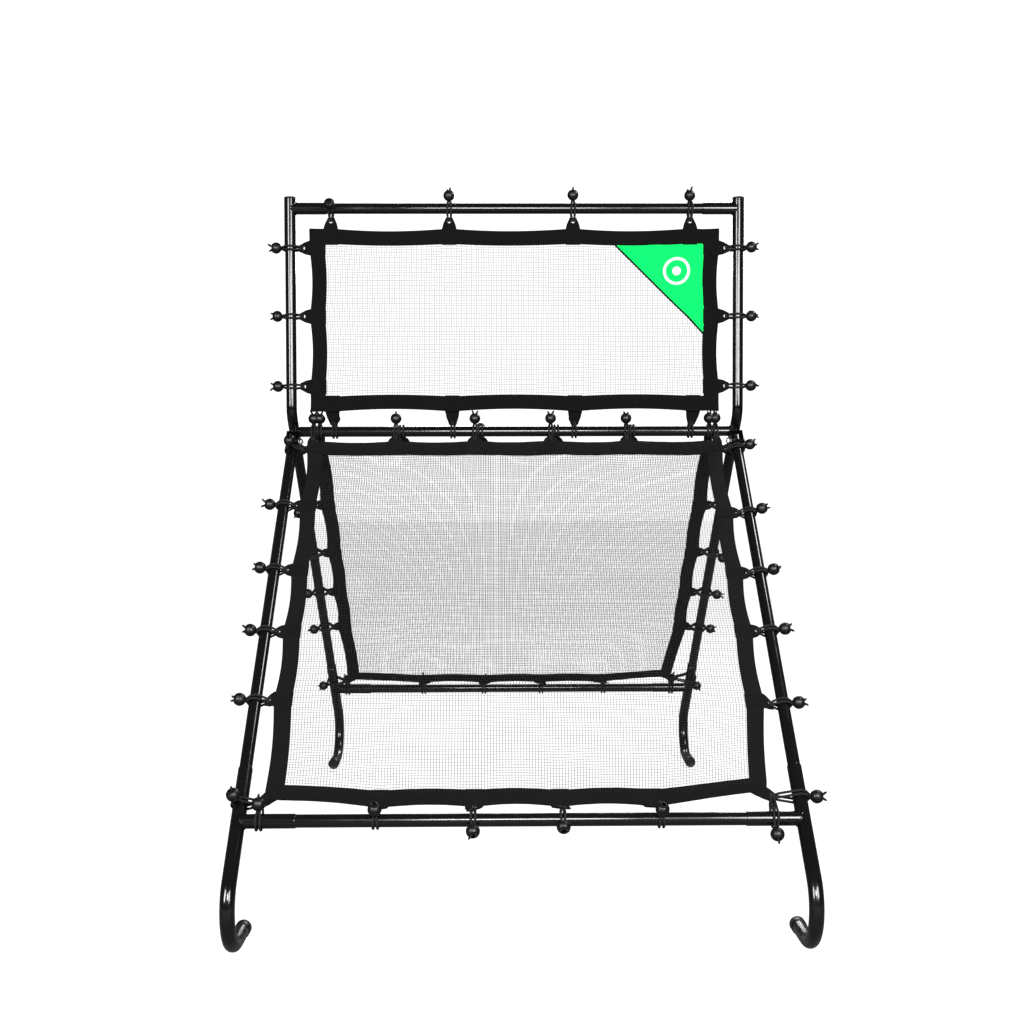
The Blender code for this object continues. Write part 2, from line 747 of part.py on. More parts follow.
def add_loop(bm, item):
    """A doubled elastic cord as one closed band."""
    axis_point = item.axis
    out = item.out
    tube_dir = item.tube_dir
    normal = tube_dir.cross(out).normalized()
    wrap = item.tube_r + CORD_CLEAR + CORD_HALF
    profile = loop_profile(item.reach, wrap)
    count = len(profile)
    path = [axis_point + out * a + normal * b for a, b in profile]
    tangents = path_tangents(path, closed=True)
    rings = []
    for point, tangent in zip(path, tangents):
        outward = tangent.cross(tube_dir).normalized()
        rings.append([
            bm.verts.new(point + outward * CORD_HALF),
            bm.verts.new(point + tube_dir * CORD_PAIR_HALF),
            bm.verts.new(point - outward * CORD_HALF),
            bm.verts.new(point - tube_dir * CORD_PAIR_HALF),
        ])
    for i in range(count):
        a = rings[i]
        b = rings[(i + 1) % count]
        for k in range(4):
            bm.faces.new((a[k], a[(k + 1) % 4], b[(k + 1) % 4], b[k]))


def add_ball(bm, item):
    """The ball, and the short neck of cord that ties it to the loop."""
    center = item.ball_center()
    matrix = Matrix.Translation(center)
    bmesh.ops.create_uvsphere(bm, u_segments=8, v_segments=4, radius=BALL_R, matrix=matrix)
    away = (center - item.axis).normalized()
    start = item.axis + away * (item.tube_r + 1.5 * CORD_CLEAR)
    add_rod(bm, [start, center], item.tube_dir, NECK_R, 4)


class Bungee:
    """One ball bungee: which tube it goes round, and from which eyelet."""

    def __init__(self, panel, eyelet, out, tube_r, reach, turn):
        self.panel = panel
        self.out = (panel.u * out[0] + panel.v * out[1]).normalized()
        self.axis = panel.at(*eyelet) + self.out * reach
        self.tube_dir = (panel.u * abs(out[1]) + panel.v * abs(out[0])).normalized()
        self.tube_r = tube_r
        self.reach = reach
        self.turn = radians(turn)

    def ball_center(self):
        distance = BALL_OFF + self.tube_r - TUBE_R
        face = self.tube_dir.cross(self.out).normalized()
        if face.dot(self.panel.n) < 0:
            face = -face
        direction = self.out * cos(self.turn) + face * sin(self.turn)
        return self.axis + direction * distance


# Distance from a tube's axis to the eyelet that its bungee passes through.
UPPER_SIDE_REACH = 0.0310
UPPER_TOP_REACH = 0.0310
UPPER_BOTTOM_REACH = 0.0310
LOWER_SIDE_REACH = 0.0280
LOWER_BAR_REACH = 0.0265


def edge_tab(base, out, edge_to_axis, reach):
    """A tab whose eyelet comes out at the given distance from the tube."""
    return (base, out, edge_to_axis - reach)


def make_upper_panel():
    """The upper net; each of its bungees is a piece of its own."""
    size = (UPPER_U, UPPER_TOP_V, UPPER_BOTTOM_V, BINDING_WIDTH, False)
    make_net("upper_net", UPPER, *size)
    tabs = []
    for k, (u, turn) in enumerate(UPPER_TOP):
        tabs.append(edge_tab((u, UPPER_TOP_V), (0, -1), UPPER_TOP_V, UPPER_TOP_REACH))
        item = Bungee(UPPER, (u, UPPER_TOP_REACH), (0, -1), bar_radius(u), UPPER_TOP_REACH, turn)
        make_bungee("upper_top_bungee_%d" % (k + 1), item)
    for k, (u, turn) in enumerate(UPPER_BOTTOM):
        tab, item = upper_bottom_item(u, turn)
        tabs.append(tab)
        make_bungee("upper_bottom_bungee_%d" % (k + 1), item)
    for side, sign, places in (("left", -1, UPPER_LEFT), ("right", 1, UPPER_RIGHT)):
        for k, (v, turn) in enumerate(places):
            gap = HALF_WIDTH - UPPER_U
            tabs.append(edge_tab((sign * UPPER_U, v), (sign, 0), gap, UPPER_SIDE_REACH))
            eyelet = (sign * (HALF_WIDTH - UPPER_SIDE_REACH), v)
            radius = SLEEVE_R if TOP_Z - v > CORNER_BOTTOM_Z - 0.006 else TUBE_R
            item = Bungee(UPPER, eyelet, (sign, 0), radius, UPPER_SIDE_REACH, turn)
            make_bungee("upper_%s_bungee_%d" % (side, k + 1), item)
    make_border("upper_border", UPPER, size, tabs, [], [])


def upper_bottom_item(u, turn):
    """The net hangs ahead of the middle crossbar, so these tabs lean back to it."""
    axis = HINGE + X_AXIS * u
    edge = UPPER.at(u, UPPER_BOTTOM_V)
    reach = UPPER_BOTTOM_REACH
    eyelet = (axis - edge).length - reach
    tab = ((u, UPPER_BOTTOM_V), (0, 1), eyelet, TAB_FOOT, axis)
    item = Bungee(UPPER, (u, UPPER_BOTTOM_V), (0, 1), TUBE_R, reach, turn)
    item.axis = axis
    item.out = (axis - edge).normalized()
    return tab, item


def bar_radius(u):
    """The top bar is thicker where its ends sit in the corner stubs."""
    return SLEEVE_R if abs(u) > HALF_WIDTH - CORNER_STUB - 0.006 else TUBE_R


def side_items(panel, v, turn, tube_r, foot=TAB_FOOT):
    """The pair of tabs and bungees that reach out to the two legs."""
    tabs = []
    bungees = []
    gap = HALF_WIDTH - LOWER_U
    for sign in (-1, 1):
        tabs.append(edge_tab((sign * LOWER_U, v), (sign, 0), gap, LOWER_SIDE_REACH) + (foot,))
        eyelet = (sign * (HALF_WIDTH - LOWER_SIDE_REACH), v)
        bungees.append(Bungee(panel, eyelet, (sign, 0), tube_r, LOWER_SIDE_REACH, turn))
    return tabs, bungees


def bottom_item(panel, u, turn, bottom, bar_v):
    tab = edge_tab((u, bottom), (0, 1), bar_v - bottom, LOWER_BAR_REACH)
    eyelet = (u, bar_v - LOWER_BAR_REACH)
    return [tab], [Bungee(panel, eyelet, (0, 1), TUBE_R, LOWER_BAR_REACH, turn)]


def corner_items(panel, bottom, bar_v, side_turns, bar_turns):
    """A slanting tab at each lower corner, laced to the leg and to the bar."""
    base_u, base_up = CORNER_TAB_BASE
    eyelet_u, eyelet_up = CORNER_EYELET
    length = Vector((eyelet_u - base_u, base_up - eyelet_up)).length
    tabs = []
    bungees = []
    for k, sign in enumerate((-1, 1)):
        base = (sign * base_u, bottom - base_up)
        out = (sign * CORNER_TAB_OUT[0], CORNER_TAB_OUT[1])
        tabs.append((base, out, length, CORNER_TAB_FOOT))
        eyelet = (sign * eyelet_u, bottom - eyelet_up)
        side_reach = HALF_WIDTH - eyelet_u
        bar_reach = bar_v - eyelet[1]
        bungees.append(Bungee(panel, eyelet, (sign, 0), SLEEVE_R, side_reach, side_turns[k]))
        bungees.append(Bungee(panel, eyelet, (0, 1), SLEEVE_R, bar_reach, bar_turns[k]))
    return tabs, bungees


def top_item(panel, u, turn, foot=TAB_FOOT):
    tab = edge_tab((u, LOWER_TOP_V), (0, -1), LOWER_TOP_V, LOWER_BAR_REACH) + (foot,)
    eyelet = (u, LOWER_BAR_REACH)
    return [tab], [Bungee(panel, eyelet, (0, -1), TUBE_R, LOWER_BAR_REACH, turn)]


def lower_items(panel, bottom, bar_v, side, low, turns):
    """Everything laced to the legs and to the bottom crossbar."""
    groups = []
    sleeve_from = bar_v - SOCKET_ABOVE_BAR - 0.006
    for v, turn in side:
        radius = SLEEVE_R if v > sleeve_from else TUBE_R
        groups.append(side_items(panel, v, turn, radius))
    groups.append(side_items(panel, CORNER_SIDE_V, turns[2], TUBE_R, CORNER_FOOT))
    groups.append(corner_items(panel, bottom, bar_v, turns[0], turns[1]))
    for u, turn in low:
        groups.append(bottom_item(panel, u, turn, bottom, bar_v))
    tabs = [tab for group in groups for tab in group[0]]
    bungees = [item for group in groups for item in group[1]]
    return tabs, bungees


def top_items(panel, places, corner_u):
    groups = [top_item(panel, u, turn) for u, turn in places]
    for u in (-corner_u, corner_u):
        groups.append(top_item(panel, u, 0, CORNER_FOOT))
    tabs = [tab for group in groups for tab in group[0]]
    bungees = [item for group in groups for item in group[1]]
    return tabs, bungees


def make_rear_panel():
    size = (LOWER_U, LOWER_TOP_V, REAR_BOTTOM_V, TOP_BINDING_WIDTH, True)
    make_net("rear_net", REAR, *size)
    tabs, bungees = lower_items(REAR, REAR_BOTTOM_V, REAR_BAR_V, REAR_SIDE, REAR_BOTTOM,
                                ((30, 60), (200, 200), 10))
    top_tabs, top_bungees = top_items(REAR, REAR_TOP, REAR_CORNER_BAR_U)
    make_border("rear_border", REAR, size, [], tabs + top_tabs, bungees + top_bungees)


def make_front_panel():
    """The bungees on the middle crossbar stay with the rear frame."""
    size = (LOWER_U, LOWER_TOP_V, FRONT_BOTTOM_V, TOP_BINDING_WIDTH, True)
    net = make_net("front_net", FRONT, *size)
    tabs, bungees = lower_items(FRONT, FRONT_BOTTOM_V, FRONT_BAR_V, FRONT_SIDE, FRONT_BOTTOM,
                                ((73, 0), (130, 0), 10))
    top_tabs, top_bungees = top_items(FRONT, FRONT_TOP, CORNER_BAR_U)
    border = make_border("front_border", FRONT, size, top_tabs, tabs, bungees)
    for k, item in enumerate(top_bungees):
        make_bungee("front_top_bungee_%d" % (k + 1), item)
    return [net, border]


def make_corner_flag():
    """The green cloth triangle sewn behind the upper net's top right corner."""
    right = UPPER_U - BINDING_WIDTH + 0.006
    top = UPPER_TOP_V + BINDING_WIDTH - 0.006
    outline = [(right, top), (right, top + FLAG_SIDE), (right - FLAG_SIDE, top)]
    bm = bmesh.new()
    back = -(BINDING_HALF + 0.0005)
    add_prism(bm, outline, [], UPPER.origin, UPPER.u, UPPER.v, UPPER.n, back - FLAG_THICK, back)
    finish("corner_flag", bm, green_cloth, smooth=False)


# ------------------------------------------------------------------- assembly
def join_front_frame(pieces):
    """Everything on the front frame turns about the pivot bolts."""
    hinge = bpy.data.objects.new("front_fold_axis", None)
    hinge.location = PIVOT
    hinge.empty_display_size = 0.05
    bpy.context.scene.collection.objects.link(hinge)
    for obj in pieces:
        set_origin(obj, PIVOT)
        obj.parent = hinge
        obj.location = (0, 0, 0)


def center_on_footprint():
    """Move everything so the two pairs of feet are equally far from y = 0."""
    middle = (FRONT_FOOT.center_y + REAR_FOOT.center_y) / 2
    for obj in bpy.data.objects:
        if obj.parent is None:
            obj.location.y -= middle


def build_rear_frame():
    for side, sign in (("left", -1), ("right", 1)):
        make_upper_corner("upper_corner_" + side, sign)
        make_upper_cap("upper_cap_" + side, sign)
        make_side_tube("side_tube_" + side, sign * HALF_WIDTH)
        make_hinge_bracket("hinge_bracket_" + side, sign * HALF_WIDTH)
        make_pivot_bolt("pivot_bolt_" + side, sign)
        make_pivot_nut("pivot_nut_" + side, sign)
        make_foot("rear_foot_" + side, REAR_FOOT, sign)
        make_foot_cap("rear_foot_cap_" + side, REAR_FOOT, sign)
    make_top_crossbar()
    make_middle_crossbar()
    make_foot_crossbar("rear_crossbar", REAR_FOOT)


def build_front_frame():
    pieces = []
    for side, sign in (("left", -1), ("right", 1)):
        pieces.append(make_front_leg("front_leg_" + side, sign * HALF_WIDTH))
        pieces.append(make_foot("front_foot_" + side, FRONT_FOOT, sign))
        pieces.append(make_foot_cap("front_foot_cap_" + side, FRONT_FOOT, sign))
    pieces.append(make_foot_crossbar("front_crossbar", FRONT_FOOT))
    return pieces


def main():
    clear_scene()
    build_rear_frame()
    make_upper_panel()
    make_corner_flag()
    make_rear_panel()
    join_front_frame(build_front_frame() + make_front_panel())
    center_on_footprint()


main()
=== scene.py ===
from math import acos, asin, atan2, cos, pi, radians, sin, sqrt, tan

import bpy
import numpy as np
from mathutils import Matrix, Vector


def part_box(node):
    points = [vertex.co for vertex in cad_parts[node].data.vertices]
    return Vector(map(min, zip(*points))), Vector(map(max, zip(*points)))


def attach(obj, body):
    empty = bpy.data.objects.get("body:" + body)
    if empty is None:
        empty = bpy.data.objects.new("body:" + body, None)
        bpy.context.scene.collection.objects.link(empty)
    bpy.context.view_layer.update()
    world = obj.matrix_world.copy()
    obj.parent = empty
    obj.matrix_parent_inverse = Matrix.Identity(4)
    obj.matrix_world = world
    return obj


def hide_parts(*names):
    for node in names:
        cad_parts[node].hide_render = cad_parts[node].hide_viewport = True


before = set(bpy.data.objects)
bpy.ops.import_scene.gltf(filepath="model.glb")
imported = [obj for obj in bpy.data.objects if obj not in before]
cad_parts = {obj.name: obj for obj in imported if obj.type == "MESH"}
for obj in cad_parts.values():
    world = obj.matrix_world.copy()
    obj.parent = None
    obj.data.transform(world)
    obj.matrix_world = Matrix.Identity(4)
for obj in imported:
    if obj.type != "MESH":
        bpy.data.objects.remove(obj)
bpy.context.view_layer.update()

rng = np.random.default_rng(7)

# ------------------------------------------------------------ driving sizes
# Lengths are in metres. On every net, u runs across, v down its slope, and n
# out of its face.
X_AXIS = Vector((1, 0, 0))
Y_AXIS = Vector((0, 1, 0))
Z_AXIS = Vector((0, 0, 1))

TUBE_R = 0.0127
SLEEVE_R = 0.0143
STUB_R = SLEEVE_R - 0.0002
TUBE_SIDES = 40
CAP_R = 0.0157
HALF_WIDTH = 0.545
UPRIGHT_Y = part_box("top_crossbar")[0].y + TUBE_R * cos(pi / 16)
HINGE_BEHIND = 0.0438      # middle crossbar axis behind the uprights
HINGE = Vector((0, UPRIGHT_Y + HINGE_BEHIND, 1.007))
TOP_Z = 1.547
UPRIGHT_TOP_Z = 1.515
CORNER_TOP_Z = 1.571
CORNER_BOTTOM_Z = 1.447
CORNER_STUB = 0.088
SIDE_BEND_R = 0.050
FRONT_SLOPE = radians(45.0)
REAR_SLOPE = radians(44.1)
FRONT_BAR_V = 1.087
REAR_BAR_V = 1.104
SOCKET_ABOVE_BAR = 0.118
LEG_IN_SOCKET = 0.050
BAR_IN_STUB = 0.045
MIDDLE_BAR_SHORT = 0.011   # its ends stop before the side tubes' axes
BEAD_R = 0.0017
BEAD_RIPPLE = 0.00035
BEAD_UNEVEN = 0.0002
FOOT_STUB = 0.111
FOOT_BEND_R = 0.078
FOOT_TAIL = 0.082
LEG_END_V = 0.023
PIVOT_V = 0.035
BRACKET_HALF = 0.0160
BRACKET_CLEAR = 0.0004     # bolt head and nut off the bracket's cheeks
BINDING_WIDTH = 0.037
TOP_BINDING_WIDTH = 0.046
UPPER_U = 0.498
UPPER_TOP_V = 0.0492
UPPER_BOTTOM_V = 0.4915
LOWER_U = 0.507
LOWER_TOP_V = 0.0345
FRONT_BOTTOM_V = 1.0575
REAR_BOTTOM_V = 1.0725
FLAG_SIDE = 0.219
FLAG_LIFT = 0.0013
FLAG_CLOTH = 0.0004
FLAG_HEM = 0.0030
FLAG_RINGS = ((0.0270, 0.0335), (0.0, 0.0105))
RING_LIFT = 0.0006

# Netting
UPPER_THREAD_R = 0.000335
LOWER_THREAD_R = 0.00037
MESH_ACROSS = 0.00606
MESH_DOWN = 0.00628
UNDER_BINDING = 0.010      # how far the net goes under its binding
THREAD_STATIONS = 25
FIRST_THREAD = 0.002       # in from the net's edge
THREAD_SWAY = 0.0004
THREAD_JITTER = 0.00012
WEAVE_LIFT = 0.0002        # one set of threads lies over the other

# How the tabs pull the cloth out of straight
SCALLOP = 0.0068
SCALLOP_DEPTH = 0.10
FULL_SLACK_SPAN = 0.15     # tabs closer together than this leave less slack
CORNER_STRAIGHT_U = 0.281  # the bottom edge is straight up to here,
CORNER_RISE_U = 0.185      # and has risen by this much farther on:
CORNER_RISE = (0.0165, 0.0270)     # left and right
CORNER_RISE_HEIGHT = 0.45
CORNER_IN = (0.009, 0.026)
CORNER_IN_HEIGHT = 0.30

# Binding, tabs and stitches
BINDING_HALF = 0.0013
BINDING_STEP = 0.010
SIDE_STRIP_SHORT = 0.003   # the strips stop short of the corners
CROSS_STRIP_SHORT = 0.001
EDGE_SEAM = 0.003          # the outer seam, in from the folded edge
LAP = 0.0006               # the crossing strips lie over the side strips
CROSS_STITCH_LIFT = 0.0009
SEAM_INSET = 0.004
TAB_FOOT = 0.036
TAB_TIP = 0.0190
TAB_DEPTH = 0.040          # sewn onto the binding
TOP_TAB_DEPTH = 0.049
SIDE_CORNER_TAB = 0.024    # widths of the narrow tabs at the upper corners
TOP_CORNER_TAB = 0.022
SLANT_TAB = (0.030, 0.018)         # width and depth, at the lower corners
TAB_HALF = 0.0021
EYELET = 0.0050
STITCH = 0.0032
STITCH_GAP = 0.0011
STITCH_R = 0.00042

# Bungees
CORD_R = 0.00250
CORD_SPREAD = 0.0043       # half the distance between the cords on a tube
CORD_CLOSE = 0.0023        # and where they meet at the eyelet and the ball
CORD_BLEND = 0.018
CORD_ON_SLEEVE = 0.006     # a bungee this close to a sleeve lies on it
BALL_R = 0.0136
BALL_WALL = 0.0022
BALL_OFF = 0.0325
BALL_MOUTH = 0.0075
UPPER_REACH = 0.031        # from an eyelet to the tube's axis
LEG_REACH = 0.028
BAR_REACH = 0.0265

# Where each bungee sits along its edge, and how far its ball has turned from
# straight out (0) towards the net's face (90), in degrees.
UPPER_TOP = ((-0.446, 80), (-0.159, 30), (0.142, 5), (0.427, -5))
UPPER_BOTTOM = ((-0.4446, -138), (-0.1533, -48), (0.1465, -138), (0.4347, -48))
UPPER_LEFT = ((0.096, 10), (0.261, 10), (0.431, 15))
UPPER_RIGHT = ((0.096, 30), (0.261, 5), (0.431, 25))
FRONT_LEFT = ((0.252, 10), (0.450, 15), (0.626, 12), (0.806, 10))
FRONT_RIGHT = ((0.279, 30), (0.464, 25), (0.629, 15), (0.820, 10))
FRONT_BOTTOM = ((-0.281, 100), (-0.093, 20), (0.080, 35), (0.270, 95))
FRONT_TOP = ((-0.294, 45), (-0.099, 42), (0.0885, 45), (0.276, 40))
REAR_LEFT = ((0.268, 60), (0.461, 40), (0.630, 10), (0.792, 15))
REAR_RIGHT = ((0.272, 60), (0.4625, 40), (0.637, 15), (0.800, 10))
REAR_BOTTOM = ((-0.271, -160), (-0.086, -160), (0.090, -160), (0.281, -160))
REAR_TOP = ((-0.280, -136), (-0.085, -120), (0.1025, -136), (0.290, -128))
CORNER_SIDE_V = 0.064
CORNER_PULL_U = 0.475      # where the lower corner tabs pull on the edges
CORNER_PULL_UP = 0.02
CORNER_BAR_U = 0.497
REAR_CORNER_BAR_U = 0.482
# Corner tabs, left and right: (u, distance up from the bottom edge) where the
# tab leaves the binding, and of its eyelet.
CORNER_TABS = (((-0.4885, 0.0255), (-0.505, 0.0095)), ((0.4695, 0.0330), (0.490, 0.0185)))


# ------------------------------------------------------------------ materials
class Shader:
    """A Principled material under construction."""

    def __init__(self, name, roughness, metallic=0.0, specular=0.5):
        self.material = bpy.data.materials.new(name)
        self.material.use_nodes = True
        self.tree = self.material.node_tree
        self.shader = self.tree.nodes["Principled BSDF"]
        self.surface("Roughness", roughness)
        self.surface("Metallic", metallic)
        self.surface("Specular IOR Level", specular)

    def node(self, kind, **inputs):
        node = self.tree.nodes.new(kind)
        for key, value in inputs.items():
            self.feed(node, key.replace("_", " "), value)
        return node

    def feed(self, node, key, value):
        if isinstance(value, bpy.types.NodeSocket):
            self.tree.links.new(value, node.inputs[key])
        else:
            node.inputs[key].default_value = value

    def surface(self, key, value):
        self.feed(self.shader, key, value)

    def rough(self, factor, low, high):
        self.surface("Roughness", self.ramp(factor, 0.3, 0.7, low, high))

    def place(self, kind="Object"):
        return self.node("ShaderNodeTexCoord").outputs[kind]

    def noise(self, scale, detail=3.0, rough=0.55):
        return self.node("ShaderNodeTexNoise", Vector=self.place(), Scale=scale, Detail=detail,
                         Roughness=rough).outputs["Fac"]

    def math(self, operation, a, b=0.0):
        node = self.tree.nodes.new("ShaderNodeMath")
        node.operation = operation
        self.feed(node, 0, a)
        self.feed(node, 1, b)
        return node.outputs[0]

    def times(self, a, b):
        return self.math("MULTIPLY", a, b)

    def plus(self, a, b):
        return self.math("ADD", a, b)

    def ramp(self, factor, low, high, start, end):
        node = self.tree.nodes.new("ShaderNodeMapRange")
        for key, value in zip((0, 1, 2, 3, 4), (factor, low, high, start, end)):
            self.feed(node, key, value)
        return node.outputs[0]

    def mix(self, factor, a, b):
        node = self.tree.nodes.new("ShaderNodeMix")
        node.data_type = "RGBA"
        self.feed(node, 0, factor)
        self.feed(node, 6, a)
        self.feed(node, 7, b)
        return node.outputs[2]

    def color(self, value):
        self.surface("Base Color", value)

    def bump(self, height, strength, distance):
        bump = self.node("ShaderNodeBump", Height=height, Strength=strength, Distance=distance)
        self.surface("Normal", bump.outputs["Normal"])

    def axis(self, vector, name):
        return self.node("ShaderNodeSeparateXYZ", Vector=vector).outputs[name]

    def wave(self, vector, axis, pitch):
        """A ridge every pitch metres along one axis of the map."""
        return self.math("SINE", self.times(self.axis(vector, axis), 2 * pi / pitch))


def gray(level):
    return (level, level, level, 1.0)


def gloss_paint():
    """Black powder coat: faint orange peel, smudges, dust near the ground."""
    s = Shader("gloss_black_paint", 0.16, specular=0.5)
    smudge = s.noise(14.0, 4.0)
    fine = s.noise(160.0, 3.0)
    low = s.ramp(s.axis(s.place(), "Z"), 0.0, 0.045, 0.8, 0.0)
    dust = s.times(low, s.ramp(s.noise(70.0, 5.0), 0.38, 0.68, 0.0, 1.0))
    s.color(s.mix(dust, gray(0.0028), (0.055, 0.052, 0.047, 1)))
    rough = s.plus(s.ramp(smudge, 0.3, 0.75, 0.10, 0.22), s.times(dust, 0.35))
    s.surface("Roughness", s.plus(rough, s.times(fine, 0.04)))
    s.surface("Coat Weight", 0.35)
    s.surface("Coat Roughness", 0.08)
    peel = s.plus(s.noise(420.0, 2.0), s.times(fine, 0.6))
    s.bump(peel, 0.10, 0.0004)
    return s.material


def zinc_plate():
    s = Shader("zinc_plate", 0.32, metallic=1.0)
    cloud = s.noise(260.0, 4.0)
    s.color(s.mix(cloud, (0.42, 0.43, 0.45, 1), (0.62, 0.62, 0.60, 1)))
    s.rough(cloud, 0.24, 0.44)
    s.bump(s.noise(900.0, 2.0), 0.15, 0.0002)
    return s.material


def moulded_plastic():
    """Black moulded plastic with a fine grain and lighter scuffs."""
    s = Shader("black_plastic", 0.38)
    grain = s.noise(1500.0, 2.0)
    scuff = s.ramp(s.noise(120.0, 6.0, 0.7), 0.60, 0.78, 0.0, 0.5)
    s.color(s.mix(scuff, gray(0.0035), gray(0.013)))
    s.rough(s.noise(60.0, 3.0), 0.28, 0.46)
    s.bump(grain, 0.25, 0.0002)
    return s.material


def net_thread():
    """Black knotless thread with its knitted ribs."""
    s = Shader("black_netting", 0.62, specular=0.3)
    fibre = s.noise(2600.0, 2.0)
    shade = s.noise(9.0, 3.0)
    s.color(s.mix(s.times(fibre, shade), gray(0.006), gray(0.020)))
    s.rough(fibre, 0.5, 0.75)
    s.bump(fibre, 0.5, 0.0003)
    return s.material


def woven(name, dark, light, warp_pitch, weft_pitch, strength, roughness=0.74):
    """A plain weave on the piece's own map, in metres."""
    s = Shader(name, roughness, specular=0.12)
    here = s.place("UV")
    across = s.wave(here, "X", warp_pitch)
    along = s.wave(here, "Y", weft_pitch)
    over = s.times(across, along)
    fuzz = s.noise(1900.0, 3.0)
    wear = s.noise(26.0, 4.0)
    tone = s.plus(s.ramp(over, -1.0, 1.0, 0.0, 0.5), s.times(wear, 0.5))
    s.color(s.mix(tone, dark, light))
    s.rough(wear, roughness - 0.08, roughness + 0.08)
    s.surface("Sheen Weight", 0.02)
    s.surface("Sheen Roughness", 0.5)
    s.bump(s.plus(over, s.times(fuzz, 0.8)), strength, 0.0005)
    return s.material


def braided():
    """The woven cover of an elastic cord: two crossing sets of ribs."""
    s = Shader("black_elastic", 0.60, specular=0.3)
    here = s.place("UV")
    x = s.times(s.axis(here, "X"), 2 * pi / 0.0022)
    y = s.times(s.axis(here, "Y"), 2 * pi / 0.0018)
    one = s.math("SINE", s.plus(x, y))
    other = s.math("SINE", s.math("SUBTRACT", x, y))
    ribs = s.times(one, other)
    fleck = s.noise(1400.0, 2.0)
    s.color(s.mix(s.ramp(ribs, -1.0, 1.0, 0.0, 1.0), gray(0.004), gray(0.015)))
    s.rough(fleck, 0.5, 0.72)
    s.bump(s.plus(ribs, s.times(fleck, 0.5)), 0.6, 0.0004)
    return s.material


def printed_white():
    s = Shader("white_print", 0.5)
    wear = s.noise(800.0, 3.0)
    s.color(s.mix(wear, gray(0.95), gray(0.78)))
    s.bump(wear, 0.3, 0.0003)
    return s.material


PAINT = gloss_paint()
ZINC = zinc_plate()
PLASTIC = moulded_plastic()
THREAD = net_thread()
WEBBING = woven("black_webbing", gray(0.0016), gray(0.0044), 0.0022, 0.0016, 0.7)
SEWING = woven("black_stitching", gray(0.004), gray(0.010), 0.0011, 0.0011, 0.6, 0.55)
ELASTIC = braided()
GREEN = woven("green_cloth", (0.0, 0.78, 0.105, 1), (0.0, 0.92, 0.150, 1), 0.0011, 0.0009, 0.35)
PRINT = printed_white()


# -------------------------------------------------------------- mesh building
class Mesh:
    """Collects the faces of one piece, with materials and maps in metres."""

    def __init__(self):
        self.points = []
        self.faces = []
        self.slots = []
        self.maps = []

    def grid(self, rows, slot=0, across=True, along=False, uv=None):
        """Quads between rows of points; across closes each row on itself."""
        rows = np.asarray(rows, float)
        count, size = rows.shape[:2]
        base = len(self.points)
        self.points.extend(rows.reshape(-1, 3).tolist())
        if uv is None:
            uv = default_map(rows)
        row_end = count if along else count - 1
        col_end = size if across else size - 1
        for i in range(row_end):
            j = (i + 1) % count
            for k in range(col_end):
                m = (k + 1) % size
                corners = (i * size + k, i * size + m, j * size + m, j * size + k)
                self.faces.append([base + c for c in corners])
                self.slots.append(slot)
                self.maps += [uv(i, k), uv(i, k + 1), uv(i + 1, k + 1), uv(i + 1, k)]

    def cap(self, ring, slot=0, flip=False):
        ring = [list(p) for p in ring]
        base = len(self.points)
        self.points.extend(ring)
        order = list(range(base, base + len(ring)))
        self.faces.append(order[::-1] if flip else order)
        self.slots.append(slot)
        self.maps += [(0.0, 0.0)] * len(ring)

    def tube(self, path, radii, sides=12, slot=0, side=None, closed=False):
        rows = rings_along(path, radii, sides, side, closed)
        if closed:
            self.grid(rows, slot, along=True)
        else:
            self.close_ends(rows, slot)

    def rod(self, path, radius, side=None):
        """Steel tube with rounded lips."""
        self.tube(*lipped(path, radius), TUBE_SIDES, side=side)

    def lathe(self, origin, axis, profile, sides, slot=0):
        """Turns (distance along the axis, radius) pairs about the axis."""
        axis = Vector(axis).normalized()
        side = perpendicular(axis)
        other = axis.cross(side)
        rows = [circle(origin + axis * along, side, other, radius, sides)
                for along, radius in profile]
        self.close_ends(rows, slot)

    def close_ends(self, rows, slot=0, uv=None):
        self.grid(rows, slot, uv=uv)
        self.cap(rows[0], slot, flip=True)
        self.cap(rows[-1], slot)

    def make(self, name, materials, body, replaces=(), sharp=38):
        mesh = bpy.data.meshes.new(name)
        mesh.from_pydata(self.points, [], self.faces)
        mesh.polygons.foreach_set("material_index", self.slots)
        mesh.polygons.foreach_set("use_smooth", [True] * len(self.faces))
        layer = mesh.uv_layers.new(name="metres")
        layer.data.foreach_set("uv", np.asarray(self.maps, np.float32).reshape(-1))
        for material in materials:
            mesh.materials.append(material)
        mesh.update()
        mesh.set_sharp_from_angle(angle=radians(sharp))
        return show(name, mesh, body, replaces)


def show(name, mesh, body, replaces):
    """Puts a mesh in the scene on its body and hides the pieces it replaces."""
    piece = bpy.data.objects.new(name, mesh)
    bpy.context.scene.collection.objects.link(piece)
    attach(piece, body)
    if replaces:
        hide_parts(*replaces)
    return piece


def turns(count):
    """Angles spaced evenly round a circle."""
    return np.linspace(0, 2 * pi, count, endpoint=False)


def circle(center, side, other, radius, sides):
    return [center + side * (radius * cos(a)) + other * (radius * sin(a)) for a in turns(sides)]


def default_map(rows):
    """Metres along the rows in X and round them in Y."""
    steps = np.linalg.norm(np.diff(rows[:, 0], axis=0), axis=1)
    along = np.concatenate([[0], np.cumsum(steps), [np.sum(steps) + 0.001]])
    width = np.linalg.norm(rows[0, 1] - rows[0, 0])
    return lambda i, k: (float(along[i]), float(k * width))


def perpendicular(axis):
    side = axis.cross(X_AXIS)
    if side.length < 0.1:
        side = axis.cross(Y_AXIS)
    return side.normalized()


